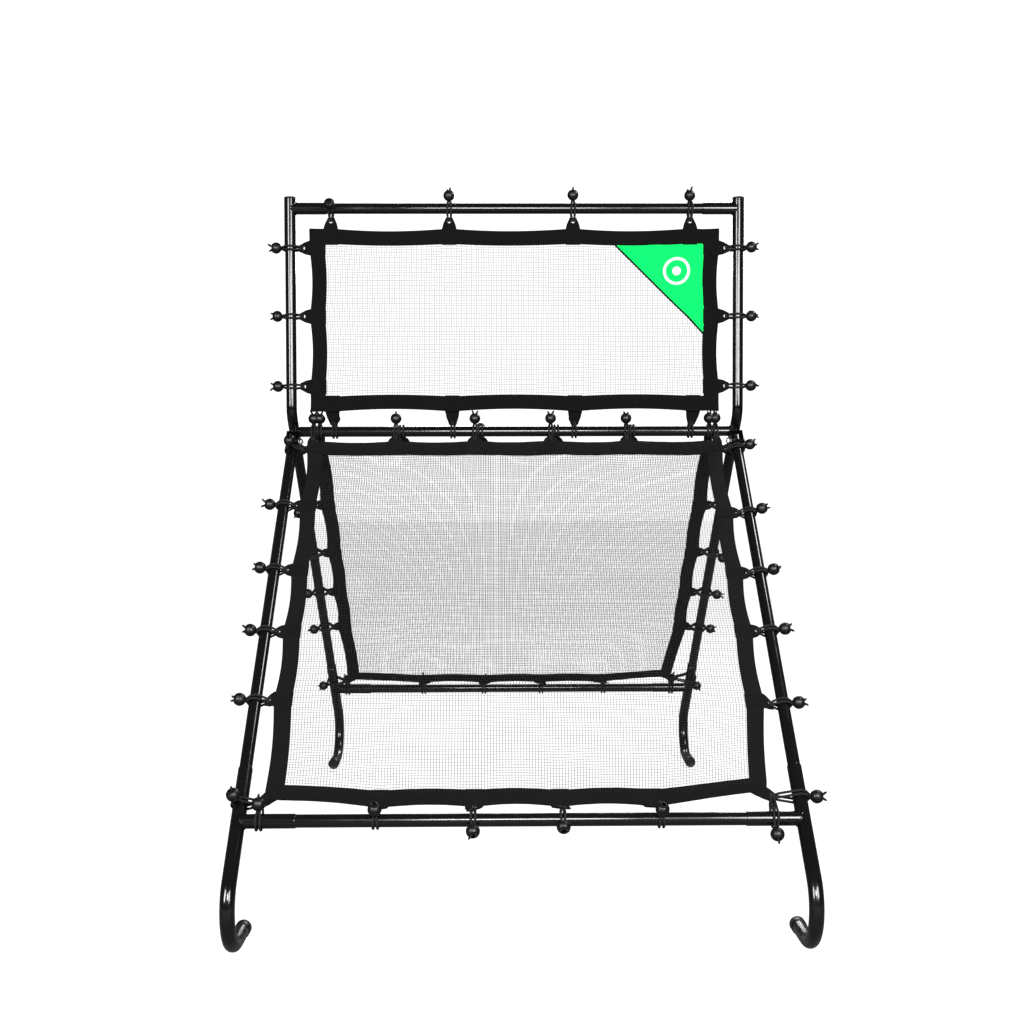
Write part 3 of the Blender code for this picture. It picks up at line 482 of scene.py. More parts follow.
def rings_along(path, radii, sides, side=None, closed=False):
    """Circles square to a path, carried along it without twisting."""
    path = [Vector(p) for p in path]
    count = len(path)
    if not hasattr(radii, "__len__"):
        radii = [radii] * count
    tangents = []
    for i in range(count):
        before = path[i - 1] if i or closed else path[i]
        after = path[(i + 1) % count] if i < count - 1 or closed else path[i]
        if (after - before).length < 1e-9:
            after = path[min(i + 1, count - 1)]
            before = path[max(i - 2, 0)]
        tangents.append((after - before).normalized())
    normal = side if side is not None else perpendicular(tangents[0])
    rows = []
    for point, tangent, radius in zip(path, tangents, radii):
        normal = (normal - tangent * normal.dot(tangent)).normalized()
        other = tangent.cross(normal)
        rows.append(circle(point, normal, other, radius, sides))
    return rows


def lipped(path, radius, lip=0.0012):
    """A path and its radii with both ends rounded over."""
    path = [Vector(p) for p in path]
    first = (path[1] - path[0]).normalized()
    last = (path[-2] - path[-1]).normalized()
    head = [path[0], path[0] + first * lip * 0.35, path[0] + first * lip]
    tail = [path[-1] + last * lip, path[-1] + last * lip * 0.35, path[-1]]
    inner = [path[0] + first * lip * 1.5] + path[1:-1] + [path[-1] + last * lip * 1.5]
    points = head + densify(inner, 0.03) + tail
    radii = [radius - lip, radius - lip * 0.35] + [radius] * (len(points) - 4)
    return points, radii + [radius - lip * 0.35, radius - lip]


def densify(path, step):
    """Adds points along the straight stretches of a path."""
    points = []
    for a, b in zip(path, path[1:]):
        count = max(1, int((b - a).length / step))
        points += [a.lerp(b, k / count) for k in range(count)]
    return points + [path[-1]]


def weld_bead(mesh, center, axis, main_axis, stub_r, main_r):
    """A rippled bead where a round stub meets a round tube."""
    axis = axis.normalized()
    main_axis = (main_axis - axis * main_axis.dot(axis)).normalized()
    third = axis.cross(main_axis)
    path = []
    radii = []
    count = 56
    for k in range(count):
        a = 2 * pi * k / count
        offset = stub_r * sin(a)
        inward = sqrt(max(main_r ** 2 - offset ** 2, (0.25 * main_r) ** 2))
        path.append(center + axis * (inward + 0.0004) + main_axis * (stub_r * cos(a))
                    + third * offset)
        radii.append(BEAD_R + BEAD_RIPPLE * sin(9 * a) + BEAD_UNEVEN * rng.random())
    mesh.tube(path, radii, 8, closed=True)


# ---------------------------------------------------------------- steel frame
FRONT_DOWN = Vector((0, -cos(FRONT_SLOPE), -sin(FRONT_SLOPE)))
REAR_DOWN = Vector((0, cos(REAR_SLOPE), -sin(REAR_SLOPE)))
ROOT = "rear_frame"
SWING = "front_frame"


def make_steel(name, node, body, rods, bead=None):
    """Painted tubes in one piece, with a weld bead where they meet."""
    mesh = Mesh()
    for path, radius in rods:
        mesh.rod(path, radius)
    if bead:
        weld_bead(mesh, *bead)
    mesh.make(name, [PAINT], body, [node])


def side_tube_path(x):
    turn = pi / 2 - REAR_SLOPE
    top = HINGE.z + HINGE_BEHIND * tan(REAR_SLOPE) + SIDE_BEND_R * tan(turn / 2)
    points = [Vector((x, UPRIGHT_Y, UPRIGHT_TOP_Z))]
    for k in range(17):
        angle = turn * k / 16
        y = UPRIGHT_Y + SIDE_BEND_R * (1 - cos(angle))
        points.append(Vector((x, y, top - SIDE_BEND_R * sin(angle))))
    end = REAR_BAR_V - SOCKET_ABOVE_BAR + LEG_IN_SOCKET
    points.append(HINGE + X_AXIS * x + REAR_DOWN * end)
    return points


def make_side_tube(side, sign):
    x = sign * HALF_WIDTH
    make_steel("side_tube_body_" + side, "side_tube_" + side, ROOT, [(side_tube_path(x), TUBE_R)],
               (HINGE + X_AXIS * x, X_AXIS * -sign, REAR_DOWN, TUBE_R, TUBE_R))


def make_bar(name, center, reach, body):
    mesh = Mesh()
    mesh.rod([center - X_AXIS * reach, center + X_AXIS * reach], TUBE_R, Z_AXIS.copy())
    mesh.make(name + "_tube", [PAINT], body, [name])


def make_upper_corner(side, sign):
    """Capped sleeve over the upright, with a stub for the top crossbar."""
    x = sign * HALF_WIDTH
    low = Vector((x, UPRIGHT_Y, CORNER_BOTTOM_Z))
    high = Vector((x, UPRIGHT_Y, CORNER_TOP_Z))
    joint = Vector((x, UPRIGHT_Y, TOP_Z))
    mouth = joint - X_AXIS * (sign * CORNER_STUB)
    make_steel("upper_corner_sleeve_" + side, "upper_corner_" + side, ROOT,
               [([low, high], SLEEVE_R), ([mouth, joint], STUB_R)],
               (joint, X_AXIS * -sign, Z_AXIS, SLEEVE_R, SLEEVE_R))
    cap = Mesh()
    profile = ((0.0, SLEEVE_R - 0.001), (0.0003, SLEEVE_R + 0.0002), (0.0022, SLEEVE_R + 0.0002),
               (0.0034, SLEEVE_R * 0.93), (0.0040, SLEEVE_R * 0.80), (0.0042, SLEEVE_R * 0.4))
    cap.lathe(high, Z_AXIS, profile, 32)
    cap.make("upper_plug_" + side, [PLASTIC], ROOT, ["upper_cap_" + side])


class Foot:
    """Geometry of one lower leg: socket, crossbar stub, bend and flat tail."""

    def __init__(self, down, bar_v):
        self.forward = 1.0 if down.y > 0 else -1.0
        self.down = down
        self.bar = HINGE + down * bar_v
        self.mouth = HINGE + down * (bar_v - SOCKET_ABOVE_BAR)
        self.slope = atan2(-down.z, abs(down.y))
        self.center_z = CAP_R + FOOT_BEND_R
        run = (self.bar.z - self.center_z) / tan(self.slope) - FOOT_BEND_R / sin(self.slope)
        self.center_y = self.bar.y + self.forward * run
        self.tail_y = self.center_y - self.forward * FOOT_TAIL

    def path(self, x):
        points = [self.mouth + X_AXIS * x, self.bar + X_AXIS * x]
        start = pi / 2 - self.slope
        for k in range(25):
            angle = start - (start + pi / 2) * k / 24
            y = self.center_y + self.forward * FOOT_BEND_R * cos(angle)
            points.append(Vector((x, y, self.center_z + FOOT_BEND_R * sin(angle))))
        points.append(Vector((x, self.tail_y, CAP_R)))
        return points


def make_foot(end, foot, side, sign, body):
    x = sign * HALF_WIDTH
    joint = foot.bar + X_AXIS * x
    mouth = joint - X_AXIS * (sign * FOOT_STUB)
    make_steel(f"{end}_foot_tube_{side}", f"{end}_foot_{side}", body,
               [(foot.path(x), SLEEVE_R), ([mouth, joint], STUB_R)],
               (joint, X_AXIS * -sign, foot.down, SLEEVE_R, SLEEVE_R))
    outward = -Y_AXIS * foot.forward
    tip = Vector((x, foot.tail_y, CAP_R))
    cap = Mesh()
    profile = ((-0.0200, SLEEVE_R + 0.0001), (-0.0200, CAP_R - 0.0004), (-0.0194, CAP_R),
               (-0.0120, CAP_R), (-0.0116, CAP_R - 0.0004), (-0.0108, CAP_R - 0.0004),
               (-0.0104, CAP_R), (0.0018, CAP_R), (0.0032, CAP_R * 0.95),
               (0.0040, CAP_R * 0.84), (0.0034, CAP_R * 0.70), (0.0034, 0.001))
    cap.lathe(tip, outward, profile, 40)
    cap.make(f"{end}_foot_end_{side}", [PLASTIC], body, [f"{end}_foot_cap_{side}"])


def make_front_leg(side, sign):
    root = HINGE + X_AXIS * (sign * HALF_WIDTH)
    end = root + FRONT_DOWN * (FRONT_BAR_V - SOCKET_ABOVE_BAR + LEG_IN_SOCKET)
    make_steel("front_leg_tube_" + side, "front_leg_" + side, SWING,
               [([root + FRONT_DOWN * LEG_END_V, end], TUBE_R)])


def make_pivot_hardware(side, sign):
    """Pan-headed bolt with its washer, and a hexagon nut inside the cheek."""
    pivot = HINGE + FRONT_DOWN * PIVOT_V + X_AXIS * (sign * HALF_WIDTH)
    outward = X_AXIS * sign
    face = pivot + outward * (BRACKET_HALF + BRACKET_CLEAR)
    bolt = Mesh()
    bolt.lathe(face, outward, ((0, 0.0078), (0.0002, 0.0082), (0.0008, 0.0082), (0.001, 0.0078)),
               28)
    dome = [(0.001, 0.0066), (0.0016, 0.0071), (0.0030, 0.0068), (0.0041, 0.0056),
            (0.0048, 0.0038), (0.0048, 0.0024), (0.0030, 0.0022), (0.0030, 0.0004)]
    bolt.lathe(face, outward, dome, 28)
    tip = pivot - outward * (BRACKET_HALF + 0.0089)
    shank = [(0, 0.0034), (0.0006, 0.0040)]
    for k in range(12):
        shank += [(0.0010 + k * 0.0008, 0.0040), (0.0014 + k * 0.0008, 0.0036)]
    shank.append((2 * BRACKET_HALF + 0.0085, 0.0038))
    bolt.lathe(tip, outward, shank, 18)
    bolt.make("pivot_screw_" + side, [ZINC], ROOT, ["pivot_bolt_" + side])
    nut = Mesh()
    inner = pivot - outward * (BRACKET_HALF + BRACKET_CLEAR)
    radius, height, chamfer, bore = 0.0075, 0.0065, 0.00104, 0.0042
    hexagon = [(0, radius * 0.9), (chamfer, radius), (height - chamfer, radius),
               (height, radius * 0.88), (height, bore)]
    nut.lathe(inner, -outward, hexagon, 6)
    nut.make("pivot_lock_nut_" + side, [ZINC], ROOT, ["pivot_nut_" + side], sharp=25)


def finish_bracket(side):
    """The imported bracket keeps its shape; its edges are softened."""
    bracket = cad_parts["hinge_bracket_" + side]
    bracket.data.materials.clear()
    bracket.data.materials.append(PAINT)
    bevel = bracket.modifiers.new("edges", "BEVEL")
    bevel.width = 0.0005
    bevel.segments = 2
    bevel.limit_method = "ANGLE"


# --------------------------------------------------------------- net geometry
class Panel:
    """A net's own axes: u across, v down, n towards its face."""

    def __init__(self, origin, down, half_u, top, bottom, top_width, ties, thread_r, drawn_in):
        self.origin = np.array(origin)
        self.down = down.normalized()
        self.face = self.down.cross(X_AXIS)
        self.half_u = half_u
        self.top = top
        self.bottom = bottom
        self.top_width = top_width
        self.ties = {edge: np.array(sorted(places)) for edge, places in ties.items()}
        self.thread_r = thread_r
        self.drawn_in = drawn_in

    def flat(self, u, v, n=0.0):
        return Vector(self.origin) + X_AXIS * u + self.down * v + self.face * n

    def scallop(self, edge, s):
        """Out at each tab and slack between two of them."""
        nodes = self.ties[edge]
        k = np.clip(np.searchsorted(nodes, s), 1, len(nodes) - 1)
        span = nodes[k] - nodes[k - 1]
        t = np.clip((s - nodes[k - 1]) / span, 0, 1)
        slack = np.clip(span / FULL_SLACK_SPAN, 0, 1) ** 2
        return SCALLOP * (0.22 - slack * np.sin(pi * t) ** 0.9)

    def pull(self, u, v):
        """How far the taut cloth is drawn from its flat outline."""
        def edge(name, s, away):
            return self.scallop(name, s) * np.exp(-np.abs(away) / SCALLOP_DEPTH)

        du = edge("right", v, self.half_u - u) - edge("left", v, u + self.half_u)
        dv = edge("bottom", u, self.bottom - v) - edge("top", u, v - self.top)
        if self.drawn_in:
            reach = np.clip((np.abs(u) - CORNER_STRAIGHT_U) / CORNER_RISE_U, 0, 1.35)
            low = np.clip(1 - (self.bottom - v) / CORNER_RISE_HEIGHT, 0, 1) ** 2
            rise = np.where(u < 0, CORNER_RISE[0], CORNER_RISE[1])
            dv = dv - rise * reach ** 1.6 * low
            near = np.clip(1 - (self.bottom - v) / CORNER_IN_HEIGHT, 0, 1) ** 2
            inward = np.where(u < 0, CORNER_IN[0], CORNER_IN[1])
            du = du - inward * near * u / self.half_u
        return du, dv

    def at(self, u, v, n=0.0):
        """Points in space for arrays of u, v and n."""
        u, v, n = np.broadcast_arrays(*(np.asarray(x, float) for x in (u, v, n)))
        du, dv = self.pull(u, v)
        ripple = 0.0006 * np.sin(u * 23 + v * 9) + 0.0005 * np.sin(v * 31 - u * 13)
        along = (v + dv)[..., None] * np.array(self.down)
        across = (u + du)[..., None] * np.array(X_AXIS)
        off = (n + ripple)[..., None] * np.array(self.face)
        return self.origin + across + along + off

    def one(self, u, v, n=0.0):
        return Vector(self.at(u, v, n))


def add_thread(threads, panel, us, vs, lift, across):
    """One straight thread with four sides, as rows of corners."""
    rows = []
    for in_plane, off_plane in ((1, 0), (0, 1), (-1, 0), (0, -1)):
        shift = in_plane * panel.thread_r
        u = us + (0 if across else shift)
        v = vs + (shift if across else 0)
        rows.append(panel.at(u, v, lift + off_plane * panel.thread_r))
    threads.append(np.stack(rows, axis=1))


def make_net(name, node, panel, body):
    """Every thread of the net is real, and follows the pull of the tabs."""
    reach = panel.half_u - BINDING_WIDTH + UNDER_BINDING
    v0 = panel.top + panel.top_width - UNDER_BINDING
    v1 = panel.bottom - BINDING_WIDTH + UNDER_BINDING
    width = 2 * reach
    height = v1 - v0
    down = np.arange(-reach + FIRST_THREAD, reach, MESH_ACROSS)
    across = np.arange(v0 + FIRST_THREAD, v1, MESH_DOWN)
    threads = []
    steps = np.linspace(0, 1, THREAD_STATIONS)
    for u in down:
        sway = THREAD_SWAY * np.sin(steps * 9 + u * 40) + rng.normal(0, THREAD_JITTER)
        add_thread(threads, panel, u + sway, v0 + height * steps, WEAVE_LIFT, False)
    for v in across:
        sway = THREAD_SWAY * np.sin(steps * 8 + v * 30) + rng.normal(0, THREAD_JITTER)
        add_thread(threads, panel, -reach + width * steps, v + sway, -WEAVE_LIFT, True)
    rows = np.stack(threads)
    index = np.arange(rows[..., 0].size).reshape(rows.shape[:3])
    a = index[:, :-1]
    b = index[:, 1:]
    quads = np.stack([a, np.roll(a, -1, 2), np.roll(b, -1, 2), b], axis=-1).reshape(-1, 4)
    quads = np.concatenate([quads, index[:, 0, ::-1], index[:, -1]])
    mesh = bpy.data.meshes.new(name)
    mesh.from_pydata(rows.reshape(-1, 3).tolist(), [], quads.tolist())
    mesh.materials.append(THREAD)
    mesh.update()
    piece = show(name, mesh, body, [node])


def edge_point(panel, edge, s, d):
    """(u, v) at s along an edge and d in from it."""
    s, d = np.broadcast_arrays(np.asarray(s, float), np.asarray(d, float))
    if edge == "top":
        return s, panel.top + d
    if edge == "bottom":
        return s, panel.bottom - d
    if edge == "left":
        return -panel.half_u + d, s
    return panel.half_u - d, s


def binding_profile(width, lift):
    """Webbing folded over the edge: rounded fold, flat faces, stitch furrows."""
    h = BINDING_HALF + lift
    face = [(0.0, 0.0), (0.0003, h * 0.6), (0.0011, h * 0.96), (0.0024, h), (0.0030, h - 0.0003),
            (0.0036, h), (width * 0.35, h + 0.0003), (width * 0.65, h + 0.0003),
            (width - 0.0046, h), (width - 0.0040, h - 0.0003), (width - 0.0034, h),
            (width - 0.0004, h * 0.92), (width, h * 0.55)]
    back = [(d, -n) for d, n in reversed(face[1:])]
    return face + back


def binding_strip(mesh, panel, edge, s0, s1, width, lift):
    profile = binding_profile(width, lift)
    stations = np.linspace(s0, s1, int((s1 - s0) / BINDING_STEP) + 2)
    d, n = np.array(profile).T
    rows = []
    for s in stations:
        pucker = 0.12 * sin(s * 1150) + 0.10 * sin(s * 410 + 2)
        u, v = edge_point(panel, edge, s, d)
        rows.append(panel.at(u, v, n * (1 + pucker)))
    flow = np.cumsum([0] + [sqrt((a[0] - b[0]) ** 2 + (a[1] - b[1]) ** 2)
                            for a, b in zip(profile, profile[1:] + profile[:1])])
    mesh.close_ends(rows, uv=lambda i, k: (float(flow[k]), i * BINDING_STEP))


def add_stitch(mesh, a, b, lift):
    """One thread stitch: a spindle lying proud of the cloth."""
    middle = (a + b) / 2 + lift * 0.00035
    along = (b - a).normalized()
    side = along.cross(lift).normalized()
    r = STITCH_R
    ring = [middle + side * r, middle + lift * r, middle - side * r, middle - lift * r]
    base = len(mesh.points)
    mesh.points.extend([list(a), list(b)] + [list(p) for p in ring])
    for k in range(4):
        m = (k + 1) % 4
        mesh.faces.append([base, base + 2 + k, base + 2 + m])
        mesh.faces.append([base + 1, base + 2 + m, base + 2 + k])
        mesh.slots += [1, 1]
        mesh.maps += [(0.0, 0.0), (0.003, 0.0), (0.003, 0.001)] * 2


def stitch_line(mesh, panel, points, lift):
    """Lockstitch along a line of (u, v) points, on both faces."""
    for (u0, v0), (u1, v1) in zip(points, points[1:]):
        span = sqrt((u1 - u0) ** 2 + (v1 - v0) ** 2)
        count = max(1, int(span / (STITCH + STITCH_GAP)))
        t = np.arange(count) / count
        t_end = t + STITCH / span
        for face in (1, -1):
            start = panel.at(u0 + (u1 - u0) * t, v0 + (v1 - v0) * t, face * lift)
            end = panel.at(u0 + (u1 - u0) * t_end, v0 + (v1 - v0) * t_end, face * lift)
            for a, b in zip(start, end):
                add_stitch(mesh, Vector(a), Vector(b), panel.face * face)


def make_binding(name, panel, body, replaces):
    """Side strips first; the crossing strips are lapped over their ends."""
    mesh = Mesh()
    hu = panel.half_u
    tw = panel.top_width
    for edge in ("left", "right"):
        binding_strip(mesh, panel, edge, panel.top + SIDE_STRIP_SHORT,
                      panel.bottom - SIDE_STRIP_SHORT, BINDING_WIDTH, 0)
    reach = hu - CROSS_STRIP_SHORT
    for edge, width in (("top", tw), ("bottom", BINDING_WIDTH)):
        binding_strip(mesh, panel, edge, -reach, reach, width, LAP)
    low = panel.bottom - BINDING_WIDTH
    for sign in (-1, 1):
        for d in (EDGE_SEAM, BINDING_WIDTH - SEAM_INSET):
            u = sign * (hu - d)
            stitch_line(mesh, panel, [(u, panel.top + tw), (u, low)], BINDING_HALF)
    reach = hu - SEAM_INSET
    for v in (panel.top + EDGE_SEAM, panel.top + tw - SEAM_INSET, panel.bottom - EDGE_SEAM,
              low + SEAM_INSET):
        stitch_line(mesh, panel, [(-reach, v), (reach, v)], BINDING_HALF + LAP)
    for sign in (-1, 1):
        u0 = sign * reach
        u1 = sign * (hu - BINDING_WIDTH + SEAM_INSET)
        for v0, v1 in ((panel.top + SEAM_INSET, panel.top + tw - SEAM_INSET),
                       (low + SEAM_INSET, panel.bottom - SEAM_INSET)):
            for line in ([(u0, v0), (u1, v1)], [(u0, v1), (u1, v0)], [(u1, v0), (u1, v1)]):
                stitch_line(mesh, panel, line, BINDING_HALF + CROSS_STITCH_LIFT)
    return mesh.make(name, [WEBBING, SEWING], body, replaces)


# ------------------------------------------------------------- tabs, bungees
class Tie:
    """One tab and the bungee that laces it to a tube.

    root is where the tab leaves the binding, eyelet its hole, axis the nearest
    point on the tube's axis, and along the tube's direction.
    """

    def __init__(self, root, lap, lap_n, eyelet, axis, along, tube_r, turn, width=TAB_FOOT,
                 depth=TAB_DEPTH):
        self.root = root
        self.lap = lap.normalized()
        self.lap_n = lap_n
        self.eyelet = eyelet
        self.axis = axis
        self.along = along.normalized()
        self.out = (axis - eyelet).normalized()
        self.face = self.along.cross(self.out).normalized()
        if self.face.dot(lap_n) < 0:
            self.face = -self.face
        self.tube_r = tube_r
        self.turn = (turn + 180) % 360 - 180
        self.width = width
        self.depth = depth


def tab_outline(length, width, depth):
    """Half outline of a tab from its sewn end to its rounded tip."""
    tip = length + EYELET + 0.0044
    points = [(-depth, width / 2 - 0.0006), (-depth + 0.0006, width / 2)]
    points += [(-depth * 0.5, width / 2), (-0.002, width / 2), (0.001, width / 2 - 0.0008)]
    points += [(tip * 0.4, width / 2 - (width - TAB_TIP) * 0.18), (tip - 0.004, TAB_TIP / 2)]
    points += [(tip - 0.0008, TAB_TIP / 2 - 0.0010), (tip, TAB_TIP / 2 - 0.0034)]
    return points


def add_tab(mesh, tie):
    """Folded webbing: rim strips to both sides of a round eyelet."""
    depth = tie.depth
    tongue = tie.eyelet - tie.root
    length = tongue.length
    tongue.normalize()
    across = tie.lap_n.cross(tie.lap).normalized()
    tongue_n = tongue.cross(across).normalized()
    if tongue_n.dot(tie.lap_n) < 0:
        tongue_n = -tongue_n

    def place(a, c, n):
        if a < 0:
            return tie.root + tie.lap * a + across * c + tie.lap_n * n
        return tie.root + tongue * a + across * c + tongue_n * n

    half = tab_outline(length, tie.width, depth)
    rim = half + [(a, -c) for a, c in reversed(half)]
    rim = densify([Vector((a, c, 0)) for a, c in rim + rim[:1]], 0.0022)[:-1]
    center = Vector((length, 0, 0))
    hole = [center + (p - center).normalized() * EYELET for p in rim]
    levels = ((0.0, TAB_HALF * 0.55), (0.06, TAB_HALF * 0.92), (0.14, TAB_HALF),
              (0.9, TAB_HALF), (1.0, TAB_HALF * 0.8))
    levels += tuple((t, -n) for t, n in levels[::-1])
    flats = [[p.lerp(h, t) for p, h in zip(rim, hole)] for t, _ in levels]
    rings = [[place(p.x, p.y, n) for p in flat] for flat, (_, n) in zip(flats, levels)]
    size = len(rim)

    def uv(i, k):
        p = flats[i % len(flats)][k % size]
        return (p.y, p.x)

    mesh.grid(rings, 0, along=True, uv=uv)
    ring = [place(length + (EYELET + 0.0002) * cos(a), (EYELET + 0.0002) * sin(a), 0)
            for a in turns(28)]
    for face in (1, -1):
        grommet = [p + tongue_n * (face * (TAB_HALF + 0.0002)) for p in ring]
        mesh.tube(grommet, 0.0007, 8, 2, closed=True)
    far = -depth + EDGE_SEAM
    near = -SEAM_INSET
    c = tie.width / 2 - EDGE_SEAM
    corners = [(far, -c), (far, c), (near, c), (near, -c), (far, -c)]
    seams = list(zip(corners, corners[1:]))
    seams += [(corners[0], corners[2]), (corners[1], corners[3])]
    for (a0, c0), (a1, c1) in seams:
        span = sqrt((a1 - a0) ** 2 + (c1 - c0) ** 2)
        count = max(1, int(span / 0.0042))
        for k in range(count):
            t0 = k / count
            t1 = t0 + 0.76 / count
            for face in (1, -1):
                lift = face * (TAB_HALF + 0.0001)
                p = place(a0 + (a1 - a0) * t0, c0 + (c1 - c0) * t0, lift)
                q = place(a0 + (a1 - a0) * t1, c0 + (c1 - c0) * t1, lift)
                add_stitch(mesh, p, q, tie.lap_n * face)


def strand_profile(tie, side):
    """One half of a loop, from the eyelet round the tube to the ball's neck."""
    wrap = tie.tube_r + CORD_R + 0.0002
    reach = (tie.axis - tie.eyelet).length
    turn = radians(tie.turn)
    neck = BALL_OFF + tie.tube_r - TUBE_R - BALL_R + 0.0012
    neck_point = (neck * cos(turn), neck * sin(turn))
    start = side * (pi - acos(min(1, wrap / reach)))
    leave = acos(min(1, wrap / neck))
    end = turn + side * leave
    points = [(-reach, side * 0.0012)]
    if side * (start - end) > 0.05:
        steps = max(2, int(abs(start - end) / 0.2))
        for k in range(steps + 1):
            angle = start + (end - start) * k / steps
            points.append((wrap * cos(angle), wrap * sin(angle)))
    points.append(neck_point)
    return points


def strand_path(tie, side, sign):
    profile = strand_profile(tie, side)
    flat = densify([Vector((a, b, 0)) for a, b in profile], 0.0035)
    total = sum((q - p).length for p, q in zip(flat, flat[1:]))
    run = 0.0
    path = []
    for i, p in enumerate(flat):
        if i:
            run += (p - flat[i - 1]).length
        from_end = min(run, total - run)
        blend = min(1.0, from_end / CORD_BLEND)
        blend = blend * blend * (3 - 2 * blend)
        offset = CORD_CLOSE + (CORD_SPREAD - CORD_CLOSE) * blend
        path.append(tie.axis + tie.out * p.x + tie.face * p.y + tie.along * (sign * offset))
    return path


def ball_profile():
    """Hollow ball: a neck hole, an outer wall with a seam, and a round mouth."""
    open_angle = asin(BALL_MOUTH / BALL_R)
    profile = []
    for k in range(18):
        a = pi - 0.30 - (pi - 0.30 - open_angle) * k / 17
        r = BALL_R + (0.00018 if k == 8 else 0.0)
        profile.append((r * cos(a), r * sin(a)))
    profile.append((BALL_R * cos(open_angle) + 0.0003, BALL_MOUTH - 0.0008))
    inner = BALL_R - BALL_WALL
    for k in range(8):
        a = open_angle + 0.08 + (2.0 - open_angle) * k / 7
        profile.append((inner * cos(a), inner * sin(a)))
    profile.append((-inner * 0.55, 0.0006))
    return profile


def add_cord_end(mesh, start, direction, droop, length):
    """A cut end of the cord, melted to a blunt tip."""
    path = []
    radii = []
    for t in (0.0, 0.2, 0.4, 0.6, 0.8, 0.94, 1.0):
        path.append(start + direction * (length * t) + droop * (length * 0.35 * t * t))
        radii.append(CORD_R * (1.0 if t < 0.9 else 0.62))
    mesh.tube(path, radii, 10, 0)


def add_bungee(mesh, tie):
    for side in (1, -1):
        for sign in (1, -1):
            mesh.tube(strand_path(tie, side, sign), CORD_R, 10, 0, side=tie.along.copy())
    turn = radians(tie.turn)
    away = tie.out * cos(turn) + tie.face * sin(turn)
    center = tie.axis + away * (BALL_OFF + tie.tube_r - TUBE_R)
    mesh.lathe(center, away, ball_profile(), 28, 1)
    knot = center + away * 0.0035
    mesh.lathe(knot - away * 0.004, away,
               ((0, 0.002), (0.001, 0.0052), (0.004, 0.0062), (0.007, 0.0046), (0.008, 0.001)),
               14, 0)
    swing = rng.uniform(0, 2 * pi)
    around = tie.along * cos(swing) + away.cross(tie.along) * sin(swing)
    for sign in (1, -1):
        lean = (away + around * (sign * rng.uniform(0.05, 0.22))).normalized()
        start = center + away * 0.0050 + around * (sign * 0.0026)
        add_cord_end(mesh, start, lean, around * sign, rng.uniform(0.0105, 0.0160))


def straight_tie(panel, edge, s, gap, reach, tube_r, turn, width=TAB_FOOT, depth=TAB_DEPTH):
    """A tab square to one edge; gap is from the edge to the tube's axis."""
    root = panel.one(*edge_point(panel, edge, s, 0.0))
    outs = {"top": -panel.down, "bottom": panel.down, "left": -X_AXIS, "right": X_AXIS}
    out = Vector(outs[edge])
    flat = edge_point(panel, edge, s, -gap)
    axis = panel.flat(float(flat[0]), float(flat[1]))
    along = X_AXIS if edge in ("top", "bottom") else panel.down
    return Tie(root, out, panel.face, axis - out * reach, axis, along, tube_r, turn, width,
               depth)


def radius_at(past_mouth):
    """What a bungee lies on, by how far it is past the mouth of a sleeve."""
    return SLEEVE_R if past_mouth > -CORD_ON_SLEEVE else TUBE_R


def corner_ties(panel, bar_v, side_turns, bar_turns):
    """A slanting tab at each lower corner carries two bungees."""
    ties = []
    for k, sign in enumerate((-1, 1)):
        (root_u, root_up), (hole_u, hole_up) = CORNER_TABS[k]
        root = panel.flat(root_u, panel.bottom - root_up)
        eyelet = panel.flat(hole_u, panel.bottom - hole_up)
        lap = (eyelet - root).normalized()
        leg = panel.flat(sign * HALF_WIDTH, panel.bottom - hole_up)
        bar = panel.flat(hole_u, bar_v)
        for axis, along, turn in ((leg, panel.down, side_turns[k]),
                                  (bar, X_AXIS.copy(), bar_turns[k])):
            ties.append(Tie(root, lap, panel.face, eyelet, axis, along, SLEEVE_R, turn,
                            *SLANT_TAB))
    return ties


def make_tabs(name, panel_ties, body):
    mesh = Mesh()
    for tie in panel_ties:
        add_tab(mesh, tie)
    return mesh.make(name, [WEBBING, SEWING, PLASTIC], body)


def make_bungee(name, tie, body, replaces=()):
    mesh = Mesh()
    add_bungee(mesh, tie)
    return mesh.make(name, [ELASTIC, PLASTIC], body, replaces)


def lower_panel(prefix, panel, bar_v, left, right, low, side_turns, bar_turns, top_turns, body):
    """Tabs and bungees along the legs and the bottom bar of a sloped net."""
    gap = HALF_WIDTH - LOWER_U
    ties = []
    for edge, places, top_turn in (("left", left, top_turns[0]), ("right", right, top_turns[1])):
        for v, turn in places:
            radius = radius_at(v - (bar_v - SOCKET_ABOVE_BAR))
            ties.append(straight_tie(panel, edge, v, gap, LEG_REACH, radius, turn))
        ties.append(straight_tie(panel, edge, CORNER_SIDE_V, gap, LEG_REACH, TUBE_R, top_turn,
                                 SIDE_CORNER_TAB))
    gap = bar_v - panel.bottom
    for u, turn in low:
        ties.append(straight_tie(panel, "bottom", u, gap, BAR_REACH, TUBE_R, turn))
    corners = corner_ties(panel, bar_v, side_turns, bar_turns)
    tab_piece = make_tabs(prefix + "_tabs", ties + corners[::2], body)
    for k, tie in enumerate(ties + corners):
        make_bungee("%s_side_bungee_%02d" % (prefix, k + 1), tie, body)
    return tab_piece


def top_ties(panel, places, corner_u, corner_turn):
    ties = []
    for u, turn in places:
        ties.append(straight_tie(panel, "top", u, panel.top, BAR_REACH, TUBE_R, turn, TAB_FOOT,
                                 TOP_TAB_DEPTH))
    for u in (-corner_u, corner_u):
        ties.append(straight_tie(panel, "top", u, panel.top, BAR_REACH, TUBE_R, corner_turn,
                                 TOP_CORNER_TAB))
    return ties


# ------------------------------------------------------------------ the nets
def positions(pairs, ends):
    """Where cloth is held along one edge: at its bungees and at its ends."""
    return [p[0] for p in pairs] + list(ends)


